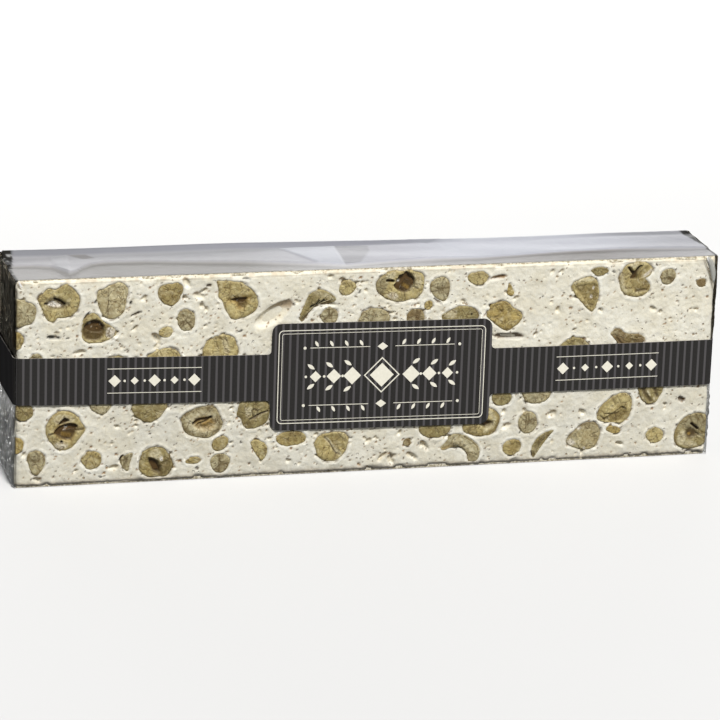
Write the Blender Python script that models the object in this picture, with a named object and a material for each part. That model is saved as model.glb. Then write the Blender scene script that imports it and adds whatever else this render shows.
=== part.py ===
"""A bar of hazelnut nougat between two wafer sheets, standing on its long narrow side.

The bar was sawn out of a slab, so its cut faces show hazelnuts cut through, each in its own
pocket. Its clear wrap is folded over at both ends, and a paper band with a wider plate in
front goes round it. X is the length, Y the thickness (the front face looks along -Y) and Z
the height. Sizes are in millimetres and become metres when a mesh is made.
"""

import math
import random
from collections import namedtuple

import bmesh
import bpy
from mathutils import noise

MM = 0.001

# Driving dimensions of the bar
NOUGAT_LENGTH = 197.6
NOUGAT_THICKNESS = 25.8
BAR_HEIGHT = 58.0
WAFER_THICKNESS = 0.8
GAP = 0.3
BLOCK_CORNER = 1.2
BLOCK_CORNER_STEPS = 3
WAFER_INSET = 0.25
WAFER_STEPS_LONG = 26
WAFER_STEPS_SHORT = 4
WAFER_RIPPLE = 0.15
WAFER_RIPPLE_PITCH = 9.0

# Paper band, a loop round the bar with a wider plate in front
PAPER = 0.25
BAND_REACH = 99.5
BAND_HEIGHT = 13.1
BAND_MIDDLE = 27.78
BAND_SLOPE = -0.0141
BAND_SAG = 0.00009
BAND_CORNER = 1.9
BAND_CORNER_STEPS = 5
BAND_STEP = 12.0
PLATE_CENTRE = 2.7
PLATE_WIDTH = 62.6
PLATE_HEIGHT = 30.4
PLATE_CORNER = 2.5
PLATE_FILLET = 1.1
PLATE_SIDE_RUN = 0.06
PLATE_ARC_STEPS = 4

# Folded ends of the clear wrap
FILM_GAP = 0.12
FILM_BASE = 0.1
FILM_FLAP = 0.06
FILM_CRUMPLE = 0.28
FILM_MARGIN = 0.7
FILM_CELLS_ACROSS = 7
FILM_CELLS_UP = 15
FILM_BAND_CLEARANCE = 4.0
FILM_SIDE_TUCK = 3.5
FILM_SIDE_TUCK_SLOPE = 0.25
FILM_TOP_FLAP = 4.0
FILM_CRUMPLE_PITCH = (4.8, 7.7)

# Hazelnuts
NUT_SIDES = 12
NUT_RING_ANGLES = (0, 34, 64)
NUT_DEPTH_SHARE = 0.6
NUT_DEPTH_BY_LENGTH = 0.3
OUTLINE_WAVES = ((2, 0.028), (3, 0.02), (5, 0.012))
OUTLINE_SEED_TURN = 1.7
MITRE_LIMIT = 1.6
HOLLOWS = {"ring": (0.36, 0.36, 0.45), "slit": (0.5, 0.14, 0.3)}
HOLLOW_TAPER = 0.78
HOLLOW_WALL_SHARE = 0.6
HOLLOW_SEED_SHIFT = 5

# Small pieces of nut that lie flush in the cut faces, and what broke out of them
CHIP_SIDES = 8
CHIP_PROUD = 0.14
CHIP_ROOT = 0.45
CHIP_RIM = 0.02
CHIP_TOP_SHARE = 0.78
VOID_SIDES = 7
VOID_DEPTH_SHARE = 0.32
VOID_FLOOR_SHARE = 0.55
CUTTER_REACH = 1.0
EDGE_CRUMBS = 11
EDGE_CRUMB_WIDTH = (1.6, 4.2)
EDGE_CRUMB_REACH = (0.35, 0.9)
EDGE_CRUMB_SECTIONS = ((-1.0, 0.25), (0.2, 1.0), (1.0, 0.3))

HALF_LENGTH = NOUGAT_LENGTH / 2
HALF_THICKNESS = NOUGAT_THICKNESS / 2
NOUGAT_LOW = WAFER_THICKNESS + GAP
NOUGAT_HIGH = BAR_HEIGHT - WAFER_THICKNESS - GAP
BAND_OUTER_Y = HALF_THICKNESS + GAP + PAPER

# A shape in a cut face: its place, width, height and turn in degrees. It can be wider at the
# top than below (taper), curve like a crescent (bend) and be more or less uneven (rough).
Shape = namedtuple("Shape", "kind x z width height turn taper bend rough", defaults=(0, 0, 0, 1))

# Hazelnuts of the front face, from the left end to the right one, row by row
FRONT_NUTS = (
    Shape("whole", -97.4, 48.9, 8.4, 7.8),
    Shape("ring", -87.3, 51.4, 11.9, 10.5, -12, 0.1),
    Shape("ring", -76.7, 43.3, 10.3, 8.9, 6, -0.45),
    Shape("whole", -72.6, 51.5, 8.8, 10.0),
    Shape("slit", -38.4, 50.4, 12.0, 11.2, -10, 0.2),
    Shape("whole", -16.3, 48.3, 11.6, 4.6, 31, 0, -1.25),
    Shape("ring", 7.1, 52.2, 14.0, 9.4, -4),
    Shape("whole", 37.3, 42.9, 10.9, 8.8, -20, 0, 0, 2.4),
    Shape("whole", 60.9, 48.6, 8.4, 11.0, 6, 0.5),
    Shape("ring", 75.4, 51.7, 9.9, 10.2),
    Shape("whole", -71.3, 32.4, 8.8, 7.8),
    Shape("whole", -58.4, 33.9, 9.9, 8.4),
    Shape("whole", -42.8, 36.1, 10.5, 8.6, 5, 0, 0, 1.6),
    Shape("whole", 0.2, 43.0, 9.2, 8.2),
    Shape("whole", 24.6, 42.6, 11.5, 8.0),
    Shape("whole", 58.3, 32.5, 9.2, 7.4),
    Shape("whole", 73.6, 34.2, 10.3, 7.4, -8, 0, 0, 2.6),
    Shape("whole", -75.6, 22.8, 6.4, 6.2),
    Shape("whole", -62.1, 21.6, 10.1, 9.4),
    Shape("slit", -47.5, 16.2, 12.2, 9.6, 12, 0, 0, 1.6),
    Shape("slit", -32.8, 17.7, 10.1, 8.6, -20),
    Shape("whole", 18.7, 12.0, 9.6, 7.4),
    Shape("slit", 32.4, 12.9, 10.8, 8.4, -25),
    Shape("whole", 47.8, 20.6, 9.6, 7.2),
    Shape("slit", 71.4, 14.8, 11.0, 8.4, 40),
    Shape("whole", 81.6, 19.5, 7.7, 7.6),
    Shape("ring", -85.2, 15.6, 11.5, 11.9, 15),
    Shape("ring", -60.1, 6.2, 10.1, 9.4),
    Shape("whole", -10.9, 7.4, 9.9, 9.1),
    Shape("whole", 26.0, 4.9, 11.6, 4.4, -24, 0, -1.3),
    Shape("whole", 50.1, 5.6, 9.8, 3.4, 50, 0, -0.5),
    Shape("whole", 62.1, 7.1, 10.1, 8.4, 0, 0, 0, 1.8),
    Shape("ring", 94.6, 7.2, 11.4, 11.0),
)

# Smaller pieces of hazelnut in the front face
FRONT_CHIPS = (
    Shape("chip", -98.4, 41.4, 3.4, 5.0),
    Shape("chip", -56.9, 52.6, 7.4, 6.6, 12, 0.3),
    Shape("chip", -52.5, 45.4, 5.0, 6.7, 10),
    Shape("chip", -58.0, 42.3, 4.4, 3.1),
    Shape("chip", -12.5, 45.0, 5.1, 4.8, 0),
    Shape("chip", -7.8, 52.7, 5.1, 4.3),
    Shape("chip", 18.8, 51.4, 5.9, 7.2, 20, 0.2),
    Shape("chip", 15.5, 46.8, 2.3, 2.8, -20),
    Shape("chip", 29.4, 54.2, 6.3, 4.0),
    Shape("chip", 38.8, 50.4, 2.0, 3.4, 10, -0.4),
    Shape("chip", 12.0, 43.4, 5.7, 5.4),
    Shape("chip", 64.5, 54.6, 4.7, 3.0, 0, 0.4),
    Shape("chip", 84.6, 52.6, 4.9, 4.8),
    Shape("chip", 94.6, 50.3, 2.8, 2.8),
    Shape("chip", -93.4, 35.6, 4.3, 3.8),
    Shape("chip", -96.7, 21.6, 5.4, 5.8),
    Shape("chip", -98.3, 11.9, 3.6, 4.8),
    Shape("chip", -93.1, 6.9, 5.2, 7.2, 0, 0.3),
    Shape("chip", -77.8, 6.9, 6.0, 5.2, -10),
    Shape("chip", -68.0, 6.1, 5.4, 2.8, 75, 0, -0.9),
    Shape("chip", -49.8, 5.4, 4.4, 1.9, 5),
    Shape("chip", -42.2, 10.0, 5.6, 4.0, 40),
    Shape("chip", -42.1, 4.4, 5.6, 5.8),
    Shape("chip", -31.4, 7.6, 7.0, 3.6, -60, 0, -0.6),
    Shape("chip", -22.3, 10.4, 8.4, 4.7),
    Shape("chip", 10.8, 7.6, 2.8, 2.5),
    Shape("chip", 37.6, 19.4, 6.0, 5.2),
    Shape("chip", 41.3, 4.6, 6.2, 4.8, 15),
    Shape("chip", 45.6, 11.6, 5.6, 6.8, -8),
    Shape("chip", 71.0, 8.4, 4.6, 2.4, -15),
    Shape("chip", 83.4, 6.1, 5.5, 4.9),
)

# Open voids of the front face, where a nut or an air bubble left its mark
FRONT_VOIDS = (
    Shape("void", -28.2, 46.0, 12.4, 5.0, 30),
    Shape("void", -88.7, 41.9, 3.6, 1.3, -8),
    Shape("void", -66.6, 43.6, 2.8, 1.0, 40),
    Shape("void", 35.2, 54.1, 5.0, 1.3, 6),
    Shape("void", 39.3, 37.1, 8.0, 2.2, -4),
    Shape("void", 15.9, 6.4, 3.8, 1.6, -48),
    Shape("void", 12.3, 3.7, 4.0, 1.4, -25),
    Shape("void", -0.4, 8.6, 2.6, 1.2, 40),
    Shape("void", 4.1, 4.2, 3.2, 1.2, 35),
    Shape("void", 39.4, 11.0, 3.0, 1.8, 15),
    Shape("void", 52.7, 13.9, 2.9, 2.2, 20),
    Shape("void", 90.8, 16.4, 2.3, 1.8, -30),
)

# Hazelnuts in the two sawn ends, whose x runs across the thickness
END_NUTS = {
    "left": (Shape("whole", 5.0, 40.6, 9.2, 10.0, 15), Shape("ring", 2.2, 13.4, 10.4, 9.6)),
    "right": (Shape("slit", -3.4, 44.4, 10.4, 9.4, 20), Shape("whole", 4.6, 22.6, 9.0, 10.2, -15)),
}

BACK_SEED = 31
BACK_NUT_COLUMNS = 8
BACK_NUT_ROWS = 2
BACK_NUT_SIZE = (8.6, 11.8)
BACK_NUT_FLATNESS = (0.78, 0.98)
BACK_NUT_KINDS = ("ring", "whole", "slit", "whole")
BACK_CHIP_COUNT = 18
BACK_CHIP_SIZE = (3.0, 6.4)
BACK_CHIP_FLATNESS = (0.6, 0.98)
BACK_VOID_COUNT = 12
BACK_VOID_SIZE = (1.8, 4.6)
BACK_VOID_FLATNESS = (0.3, 0.6)
PLACING_TRIES = 6000
PLACING_MARGIN = 1.3


def clear_scene():
    for thing in list(bpy.data.objects):
        bpy.data.objects.remove(thing, do_unlink=True)


def make_material(name, colour, roughness, metallic=0.0):
    material = bpy.data.materials.new(name)
    material.use_nodes = True
    shader = material.node_tree.nodes["Principled BSDF"]
    shader.inputs["Base Color"].default_value = (*colour, 1.0)
    shader.inputs["Roughness"].default_value = roughness
    shader.inputs["Metallic"].default_value = metallic
    return material


def make_object(name, points, faces, material):
    """One closed mesh from points in millimetres, with its faces turned outwards."""
    mesh = bpy.data.meshes.new(name)
    mesh.from_pydata([(x * MM, y * MM, z * MM) for x, y, z in points], [], faces)
    shell = bmesh.new()
    shell.from_mesh(mesh)
    bmesh.ops.recalc_face_normals(shell, faces=shell.faces)
    shell.to_mesh(mesh)
    shell.free()
    mesh.materials.append(material)
    thing = bpy.data.objects.new(name, mesh)
    bpy.context.scene.collection.objects.link(thing)
    return thing


def apply_boolean(target, operation, operands):
    """Unites the target with all the operands, or cuts them out of it, and removes them."""
    group = bpy.data.collections.new(operation.lower())
    for operand in operands:
        group.objects.link(operand)
    boolean = target.modifiers.new(operation.lower(), "BOOLEAN")
    boolean.operation = operation
    boolean.operand_type = "COLLECTION"
    boolean.collection = group
    boolean.solver = "EXACT"
    evaluated = target.evaluated_get(bpy.context.evaluated_depsgraph_get())
    result = bpy.data.meshes.new_from_object(evaluated)
    target.modifiers.clear()
    target.data = result
    for operand in operands:
        bpy.data.objects.remove(operand, do_unlink=True)
    bpy.data.collections.remove(group)


def lathe_faces(ring_count, sides, pole_start=None, pole_end=None, cap_start=False, cap_end=False):
    """Faces of rings of equal size, closed by a pole point or by one flat face at each end."""
    faces = []
    for ring in range(ring_count - 1):
        for side in range(sides):
            after = (side + 1) % sides
            low = ring * sides
            faces.append((low + side, low + after, low + sides + after, low + sides + side))
    last = (ring_count - 1) * sides
    if pole_start is not None:
        faces += [(pole_start, (side + 1) % sides, side) for side in range(sides)]
    if pole_end is not None:
        faces += [(last + side, last + (side + 1) % sides, pole_end) for side in range(sides)]
    if cap_start:
        faces.append(tuple(range(sides)))
    if cap_end:
        faces.append(tuple(range(last, last + sides)))
    return faces


def on_face(face, across, up, inward):
    """Turns a place on one of the bar's four cut faces, and a depth below it, into a point."""
    if face == "front":
        return (across, -HALF_THICKNESS + inward, up)
    if face == "back":
        return (across, HALF_THICKNESS - inward, up)
    if face == "left":
        return (-HALF_LENGTH + inward, across, up)
    return (HALF_LENGTH - inward, across, up)


def outline_point(shape, angle, seed, half_width, half_height, share=1.0):
    """A point of a shape's uneven oval outline, tapered, bent, turned and moved to its place."""
    bulge = share
    for wave, size in OUTLINE_WAVES:
        bulge += share * shape.rough * size * math.cos(wave * (angle + OUTLINE_SEED_TURN * seed))
    level = bulge * math.sin(angle)
    across = half_width * bulge * math.cos(angle) * (1 + shape.taper * level)
    up = half_height * (level + shape.bend * (across / half_width) ** 2)
    up -= 0.5 * shape.bend * half_height
    turn = math.radians(shape.turn)
    return (
        shape.x + across * math.cos(turn) - up * math.sin(turn),
        shape.z + across * math.sin(turn) + up * math.cos(turn),
    )


def kept_inside(face, across, up):
    """Moves a point that lies past an edge of the nougat onto that edge, where the saw cut the nut."""
    reach = HALF_LENGTH if face in ("front", "back") else HALF_THICKNESS
    return min(max(across, -reach), reach), min(max(up, NOUGAT_LOW), NOUGAT_HIGH)


def outline_ring(shape, seed, sides, half_width, half_height, share=1.0):
    angles = [2 * math.pi * side / sides for side in range(sides)]
    return [outline_point(shape, angle, seed, half_width, half_height, share) for angle in angles]


def grown(ring, distance):
    """The ring moved outwards by a distance, so that a pocket keeps its gap all round a nut."""
    moved = []
    for index, (x, z) in enumerate(ring):
        before_x, before_z = ring[index - 1]
        after_x, after_z = ring[(index + 1) % len(ring)]
        length_before = math.hypot(x - before_x, z - before_z)
        length_after = math.hypot(after_x - x, after_z - z)
        normal_before = ((z - before_z) / length_before, (before_x - x) / length_before)
        normal_after = ((after_z - z) / length_after, (x - after_x) / length_after)
        sum_x = normal_before[0] + normal_after[0]
        sum_z = normal_before[1] + normal_after[1]
        reach = 2 * distance / max(sum_x * sum_x + sum_z * sum_z, MITRE_LIMIT)
        moved.append((x + reach * sum_x, z + reach * sum_z))
    return moved


def nut_depth(nut):
    narrow = min(nut.width, nut.height)
    long = max(nut.width, nut.height)
    return NUT_DEPTH_SHARE * (narrow + NUT_DEPTH_BY_LENGTH * (long - narrow))


def make_nut(name, nut, face, seed, material):
    """The half of a hazelnut that stays behind the saw cut, with its hollow if it shows one."""
    half_width = nut.width / 2
    half_height = nut.height / 2
    depth = nut_depth(nut)
    points = []
    for degrees in reversed(NUT_RING_ANGLES):
        share = math.cos(math.radians(degrees))
        inward = depth * math.sin(math.radians(degrees))
        ring = outline_ring(nut, seed, NUT_SIDES, half_width, half_height, share)
        points += [on_face(face, *kept_inside(face, across, up), inward) for across, up in ring]
    ring_count = len(NUT_RING_ANGLES)
    if nut.kind in HOLLOWS:
        share_across, share_up, share_depth = HOLLOWS[nut.kind]
        for taper, inward in ((1.0, 0.0), (HOLLOW_TAPER, HOLLOW_WALL_SHARE * share_depth * depth)):
            across = half_width * share_across * taper
            up = half_height * share_up * taper
            ring = outline_ring(nut, seed + HOLLOW_SEED_SHIFT, NUT_SIDES, across, up)
            points += [on_face(face, *point, inward) for point in ring]
        ring_count += 2
        points.append(on_face(face, nut.x, nut.z, share_depth * depth))
    points.append(on_face(face, nut.x, nut.z, depth))
    deepest = len(points) - 1
    if nut.kind in HOLLOWS:
        faces = lathe_faces(ring_count, NUT_SIDES, pole_start=deepest, pole_end=deepest - 1)
    else:
        faces = lathe_faces(ring_count, NUT_SIDES, pole_start=deepest, cap_end=True)
    nut_object = make_object(name, points, faces, material)
    nut_object.data.shade_smooth()
    nut_object.data.set_sharp_from_angle(angle=math.radians(50))
    return nut_object


def make_pocket(nut, face, seed):
    """The cutter of a nut's pocket: the nut's form grown by the gap and reaching out of the face."""
    half_width = nut.width / 2
    half_height = nut.height / 2
    depth = nut_depth(nut) + GAP
    points = []
    for degrees in reversed(NUT_RING_ANGLES):
        share = math.cos(math.radians(degrees))
        inward = depth * math.sin(math.radians(degrees))
        ring = grown(outline_ring(nut, seed, NUT_SIDES, half_width, half_height, share), GAP)
        points += [on_face(face, across, up, inward) for across, up in ring]
    mouth = grown(outline_ring(nut, seed, NUT_SIDES, half_width, half_height), GAP)
    points += [on_face(face, across, up, -CUTTER_REACH) for across, up in mouth]
    points.append(on_face(face, nut.x, nut.z, depth))
    faces = lathe_faces(len(NUT_RING_ANGLES) + 1, NUT_SIDES, pole_start=len(points) - 1, cap_end=True)
    return make_object("pocket", points, faces, materials["nougat"])


def make_chip(chip, face, seed):
    """A small piece of nut that stands a little proud of the cut face and is fused to it."""
    points = []
    for share, inward in ((1.0, CHIP_ROOT), (1.0, CHIP_RIM), (CHIP_TOP_SHARE, -CHIP_PROUD)):
        ring = outline_ring(chip, seed, CHIP_SIDES, chip.width / 2, chip.height / 2, share)
        points += [on_face(face, *kept_inside(face, across, up), inward) for across, up in ring]
    faces = lathe_faces(3, CHIP_SIDES, cap_start=True, cap_end=True)
    return make_object("chip", points, faces, materials["nougat"])


def make_void(void, face, seed):
    """The cutter of an open void, a slanting hole with an uneven mouth."""
    depth = VOID_DEPTH_SHARE * (void.width + void.height) / 2
    points = []
    for share, inward in ((VOID_FLOOR_SHARE, depth), (1.0, 0.0), (1.0, -CUTTER_REACH)):
        ring = outline_ring(void, seed, VOID_SIDES, void.width / 2, void.height / 2, share)
        points += [on_face(face, across, up, inward) for across, up in ring]
    faces = lathe_faces(3, VOID_SIDES, cap_start=True, cap_end=True)
    return make_object("void", points, faces, materials["nougat"])


def make_edge_crumbs(side, height, seed):
    """Cutters along one long edge, where crumbs broke away: low wedges of uneven length."""
    dice = random.Random(seed)
    crumbs = []
    spacing = NOUGAT_LENGTH / EDGE_CRUMBS
    for index in range(EDGE_CRUMBS):
        middle = -HALF_LENGTH + spacing * (index + dice.uniform(0.3, 0.7))
        half = dice.uniform(*EDGE_CRUMB_WIDTH) / 2
        reach = dice.uniform(*EDGE_CRUMB_REACH)
        edge_y = side * HALF_THICKNESS
        edge_z = NOUGAT_LOW if height == "low" else NOUGAT_HIGH
        inward = 1 if height == "low" else -1
        points = []
        for along_share, reach_share in EDGE_CRUMB_SECTIONS:
            x = middle + half * along_share
            deep = reach * reach_share
            points += [
                (x, edge_y - side * deep, edge_z - inward * CUTTER_REACH),
                (x, edge_y - side * deep, edge_z),
                (x, edge_y, edge_z + inward * deep),
                (x, edge_y + side * CUTTER_REACH, edge_z + inward * deep),
                (x, edge_y + side * CUTTER_REACH, edge_z - inward * CUTTER_REACH),
            ]
        faces = lathe_faces(3, 5, cap_start=True, cap_end=True)
        crumbs.append(make_object("crumb", points, faces, materials["nougat"]))
    return crumbs


def radius(shape):
    return max(shape.width, shape.height) / 2


def is_clear(candidate, others, margin):
    for other in others:
        distance = math.hypot(candidate.x - other.x, candidate.z - other.z)
        if distance < radius(candidate) + radius(other) + margin:
            return False
    return True


def spread_nuts(dice):
    """Hazelnuts of the back face, one in each cell of a coarse grid, well off the cell's middle."""
    cell_x = (NOUGAT_LENGTH - 2 * PLACING_MARGIN) / BACK_NUT_COLUMNS
    cell_z = (NOUGAT_HIGH - NOUGAT_LOW - 2 * PLACING_MARGIN) / BACK_NUT_ROWS
    nuts = []
    for column in range(BACK_NUT_COLUMNS):
        for row in range(BACK_NUT_ROWS):
            width = dice.uniform(*BACK_NUT_SIZE)
            height = width * dice.uniform(*BACK_NUT_FLATNESS)
            play_x = (cell_x - width - PLACING_MARGIN) / 2
            play_z = (cell_z - width - PLACING_MARGIN) / 2
            x = -HALF_LENGTH + PLACING_MARGIN + cell_x * (column + 0.5) + play_x * dice.uniform(-1, 1)
            z = NOUGAT_LOW + PLACING_MARGIN + cell_z * (row + 0.5) + play_z * dice.uniform(-1, 1)
            nuts.append(Shape(dice.choice(BACK_NUT_KINDS), x, z, width, height, dice.uniform(-90, 90)))
    return nuts


def scatter(dice, kind, count, sizes, flatness, taken):
    """Places small shapes on the back face at random where they are clear of those already there."""
    placed = []
    for _ in range(PLACING_TRIES):
        if len(placed) == count:
            break
        width = dice.uniform(*sizes)
        height = width * dice.uniform(*flatness)
        reach = width / 2 + PLACING_MARGIN
        across = dice.uniform(-HALF_LENGTH + reach, HALF_LENGTH - reach)
        up = dice.uniform(NOUGAT_LOW + reach, NOUGAT_HIGH - reach)
        turn = dice.uniform(-90, 90)
        shape = Shape(kind, across, up, width, height, turn)
        if is_clear(shape, taken + placed, PLACING_MARGIN):
            placed.append(shape)
    return placed


def make_block():
    """The plain sawn block, with slightly rounded upright edges."""
    outline = []
    corners = ((1, 1), (-1, 1), (-1, -1), (1, -1))
    for index, (side_x, side_y) in enumerate(corners):
        for step in range(BLOCK_CORNER_STEPS + 1):
            angle = math.radians(90 * index + 90 * step / BLOCK_CORNER_STEPS)
            outline.append((
                side_x * (HALF_LENGTH - BLOCK_CORNER) + BLOCK_CORNER * math.cos(angle),
                side_y * (HALF_THICKNESS - BLOCK_CORNER) + BLOCK_CORNER * math.sin(angle),
            ))
    points = [(x, y, NOUGAT_LOW) for x, y in outline] + [(x, y, NOUGAT_HIGH) for x, y in outline]
    faces = lathe_faces(2, len(outline), cap_start=True, cap_end=True)
    return make_object("nougat", points, faces, materials["nougat"])


def make_wafer(name, low, high, seed):
    """A thin wafer sheet whose rim runs a little in and out along the sawn edge."""
    half_x = HALF_LENGTH - WAFER_INSET
    half_y = HALF_THICKNESS - WAFER_INSET
    outline = []
    for side in (-1, 1):
        for step in range(WAFER_STEPS_LONG):
            outline.append((side * half_x * (2 * step / WAFER_STEPS_LONG - 1), side * half_y))
        for step in range(WAFER_STEPS_SHORT):
            outline.append((side * half_x, side * half_y * (1 - 2 * step / WAFER_STEPS_SHORT)))
    rim = []
    for x, y in outline:
        wave = noise.noise((x / WAFER_RIPPLE_PITCH, y / WAFER_RIPPLE_PITCH, seed))
        inset = WAFER_RIPPLE * (1 + wave)
        rim.append((x - math.copysign(inset, x), y - math.copysign(inset, y)))
    points = [(x, y, low) for x, y in rim] + [(x, y, high) for x, y in rim]
    faces = lathe_faces(2, len(rim), cap_start=True, cap_end=True)
    return make_object(name, points, faces, materials["wafer"])


def band_middle(x):
    return BAND_MIDDLE + BAND_SLOPE * x + BAND_SAG * x * x


def plate_profile():
    """Stations of the front run: x and half the height, from the strip up to the plate and back."""
    half_strip = BAND_HEIGHT / 2
    half_plate = PLATE_HEIGHT / 2
    half_width = PLATE_WIDTH / 2
    rise = []
    for step in range(PLATE_ARC_STEPS + 1):
        angle = math.radians(90 * step / PLATE_ARC_STEPS)
        rise.append((
            -half_width - PLATE_FILLET * (1 - math.sin(angle)),
            half_strip + PLATE_FILLET * (1 - math.cos(angle)),
        ))
    for step in range(PLATE_ARC_STEPS + 1):
        angle = math.radians(90 * step / PLATE_ARC_STEPS)
        rise.append((
            -half_width + PLATE_SIDE_RUN + PLATE_CORNER * (1 - math.cos(angle)),
            half_plate - PLATE_CORNER * (1 - math.sin(angle)),
        ))
    fall = [(-x, half) for x, half in reversed(rise)]
    return [(PLATE_CENTRE + x, half) for x, half in rise + fall]


def band_stations():
    """The band's outer path seen from above, each point with its outward direction and height."""
    half_strip = BAND_HEIGHT / 2
    straight = BAND_REACH - BAND_CORNER
    plate = plate_profile()
    stations = []

    def run_front(start, end):
        count = max(1, round(abs(end - start) / BAND_STEP))
        for step in range(1, count):
            stations.append((start + (end - start) * step / count, -BAND_OUTER_Y, 0.0, -1.0, half_strip))

    def turn_corner(side_x, side_y, start_degrees):
        for step in range(BAND_CORNER_STEPS + 1):
            angle = math.radians(start_degrees + 90 * step / BAND_CORNER_STEPS)
            out_x = math.cos(angle)
            out_y = math.sin(angle)
            x = side_x * straight + BAND_CORNER * out_x
            y = side_y * (BAND_OUTER_Y - BAND_CORNER) + BAND_CORNER * out_y
            stations.append((x, y, out_x, out_y, half_strip))

    turn_corner(-1, -1, 180)
    run_front(-straight, plate[0][0])
    stations.extend((x, -BAND_OUTER_Y, 0.0, -1.0, half) for x, half in plate)
    run_front(plate[-1][0], straight)
    turn_corner(1, -1, 270)
    turn_corner(1, 1, 0)
    back_count = round(2 * straight / BAND_STEP)
    for step in range(1, back_count):
        x = straight - 2 * straight * step / back_count
        stations.append((x, BAND_OUTER_Y, 0.0, 1.0, half_strip))
    turn_corner(-1, 1, 90)
    return stations


def make_band():
    stations = band_stations()
    slope = (band_middle(BAND_REACH) - band_middle(-BAND_REACH)) / (2 * BAND_REACH)
    centre = (band_middle(BAND_REACH) + band_middle(-BAND_REACH)) / 2
    points = []
    for x, y, out_x, out_y, half in stations:
        middle = band_middle(x) if y < 0 else centre + slope * x
        inner_x = x - PAPER * out_x
        inner_y = y - PAPER * out_y
        points += [
            (x, y, middle - half),
            (x, y, middle + half),
            (inner_x, inner_y, middle + half),
            (inner_x, inner_y, middle - half),
        ]
    count = len(stations)
    faces = []
    for station in range(count):
        here = 4 * station
        there = 4 * ((station + 1) % count)
        for edge in range(4):
            after = (edge + 1) % 4
            faces.append((here + edge, there + edge, there + after, here + after))
    band = make_object("band", points, faces, materials["band"])
    band.data.shade_smooth()
    band.data.set_sharp_from_angle(angle=math.radians(35))
    return band


def film_thickness(across, up, seed):
    """Thickness of a folded end: two tucks from the sides under a flap from above and below."""
    half_across = HALF_THICKNESS - FILM_MARGIN
    middle = (NOUGAT_LOW + NOUGAT_HIGH) / 2
    half_up = (NOUGAT_HIGH - NOUGAT_LOW) / 2
    from_side = half_across - abs(across)
    from_end = half_up - abs(up - middle)
    thickness = FILM_BASE
    if from_end < from_side + FILM_TOP_FLAP:
        thickness += FILM_FLAP
    if from_side < FILM_SIDE_TUCK + FILM_SIDE_TUCK_SLOPE * from_end:
        thickness += FILM_FLAP
    pitch_across, pitch_up = FILM_CRUMPLE_PITCH
    crumple = abs(noise.noise((across / pitch_across, up / pitch_up, seed)))
    band_centre = band_middle(-BAND_REACH if seed > 0 else BAND_REACH)
    if abs(up - band_centre) > BAND_HEIGHT / 2 + FILM_BAND_CLEARANCE:
        thickness += FILM_CRUMPLE * crumple
    return thickness


def make_film_end(name, side, seed):
    """The folded wrap on one end of the bar, a thin pad with creases in its outer face."""
    inner_x = side * (HALF_LENGTH + FILM_GAP)
    half_across = HALF_THICKNESS - FILM_MARGIN
    low = NOUGAT_LOW
    high = NOUGAT_HIGH
    rows = FILM_CELLS_UP + 1
    columns = FILM_CELLS_ACROSS + 1
    inner = []
    outer = []
    for row in range(rows):
        for column in range(columns):
            across = half_across * (2 * column / FILM_CELLS_ACROSS - 1)
            up = low + (high - low) * row / FILM_CELLS_UP
            inner.append((inner_x, across, up))
            outer.append((inner_x + side * film_thickness(across, up, seed), across, up))
    faces = []
    shift = rows * columns
    for row in range(rows - 1):
        for column in range(columns - 1):
            here = row * columns + column
            quad = (here, here + 1, here + columns + 1, here + columns)
            faces.append(quad)
            faces.append(tuple(corner + shift for corner in reversed(quad)))
    border = [column for column in range(columns)]
    border += [row * columns + columns - 1 for row in range(1, rows)]
    border += [(rows - 1) * columns + column for column in range(columns - 2, -1, -1)]
    border += [row * columns for row in range(rows - 2, 0, -1)]
    for index, here in enumerate(border):
        there = border[(index + 1) % len(border)]
        faces.append((here, there, there + shift, here + shift))
    return make_object(name, inner + outer, faces, materials["film"])


def build():
    nuts = [("front", index, nut) for index, nut in enumerate(FRONT_NUTS)]
    dice = random.Random(BACK_SEED)
    back_nuts = spread_nuts(dice)
    nuts += [("back", index, nut) for index, nut in enumerate(back_nuts)]
    back_chips = scatter(dice, "chip", BACK_CHIP_COUNT, BACK_CHIP_SIZE, BACK_CHIP_FLATNESS, back_nuts)
    taken = back_nuts + back_chips
    back_voids = scatter(dice, "void", BACK_VOID_COUNT, BACK_VOID_SIZE, BACK_VOID_FLATNESS, taken)
    for end, end_nuts in END_NUTS.items():
        nuts += [(end, index, nut) for index, nut in enumerate(end_nuts)]

    nougat = make_block()
    chips = [make_chip(chip, "front", index) for index, chip in enumerate(FRONT_CHIPS)]
    chips += [make_chip(chip, "back", index) for index, chip in enumerate(back_chips)]
    apply_boolean(nougat, "UNION", chips)
    cutters = [make_void(void, "front", index) for index, void in enumerate(FRONT_VOIDS)]
    cutters += [make_void(void, "back", index) for index, void in enumerate(back_voids)]
    for seed, (side, height) in enumerate(((-1, "low"), (-1, "high"), (1, "low"), (1, "high"))):
        cutters += make_edge_crumbs(side, height, seed)
    for face, index, nut in nuts:
        cutters.append(make_pocket(nut, face, index))
    apply_boolean(nougat, "DIFFERENCE", cutters)
    nougat.data.set_sharp_from_angle(angle=math.radians(30))

    for face, index, nut in nuts:
        make_nut(f"hazelnut_{face}_{nut.kind}_{index + 1:02d}", nut, face, index, materials["hazelnut"])
    make_wafer("wafer_bottom", 0.0, WAFER_THICKNESS, 3)
    make_wafer("wafer_top", BAR_HEIGHT - WAFER_THICKNESS, BAR_HEIGHT, 8)
    make_band()
    make_film_end("film_end_left", -1, 4.3)
    make_film_end("film_end_right", 1, -2.6)


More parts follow.
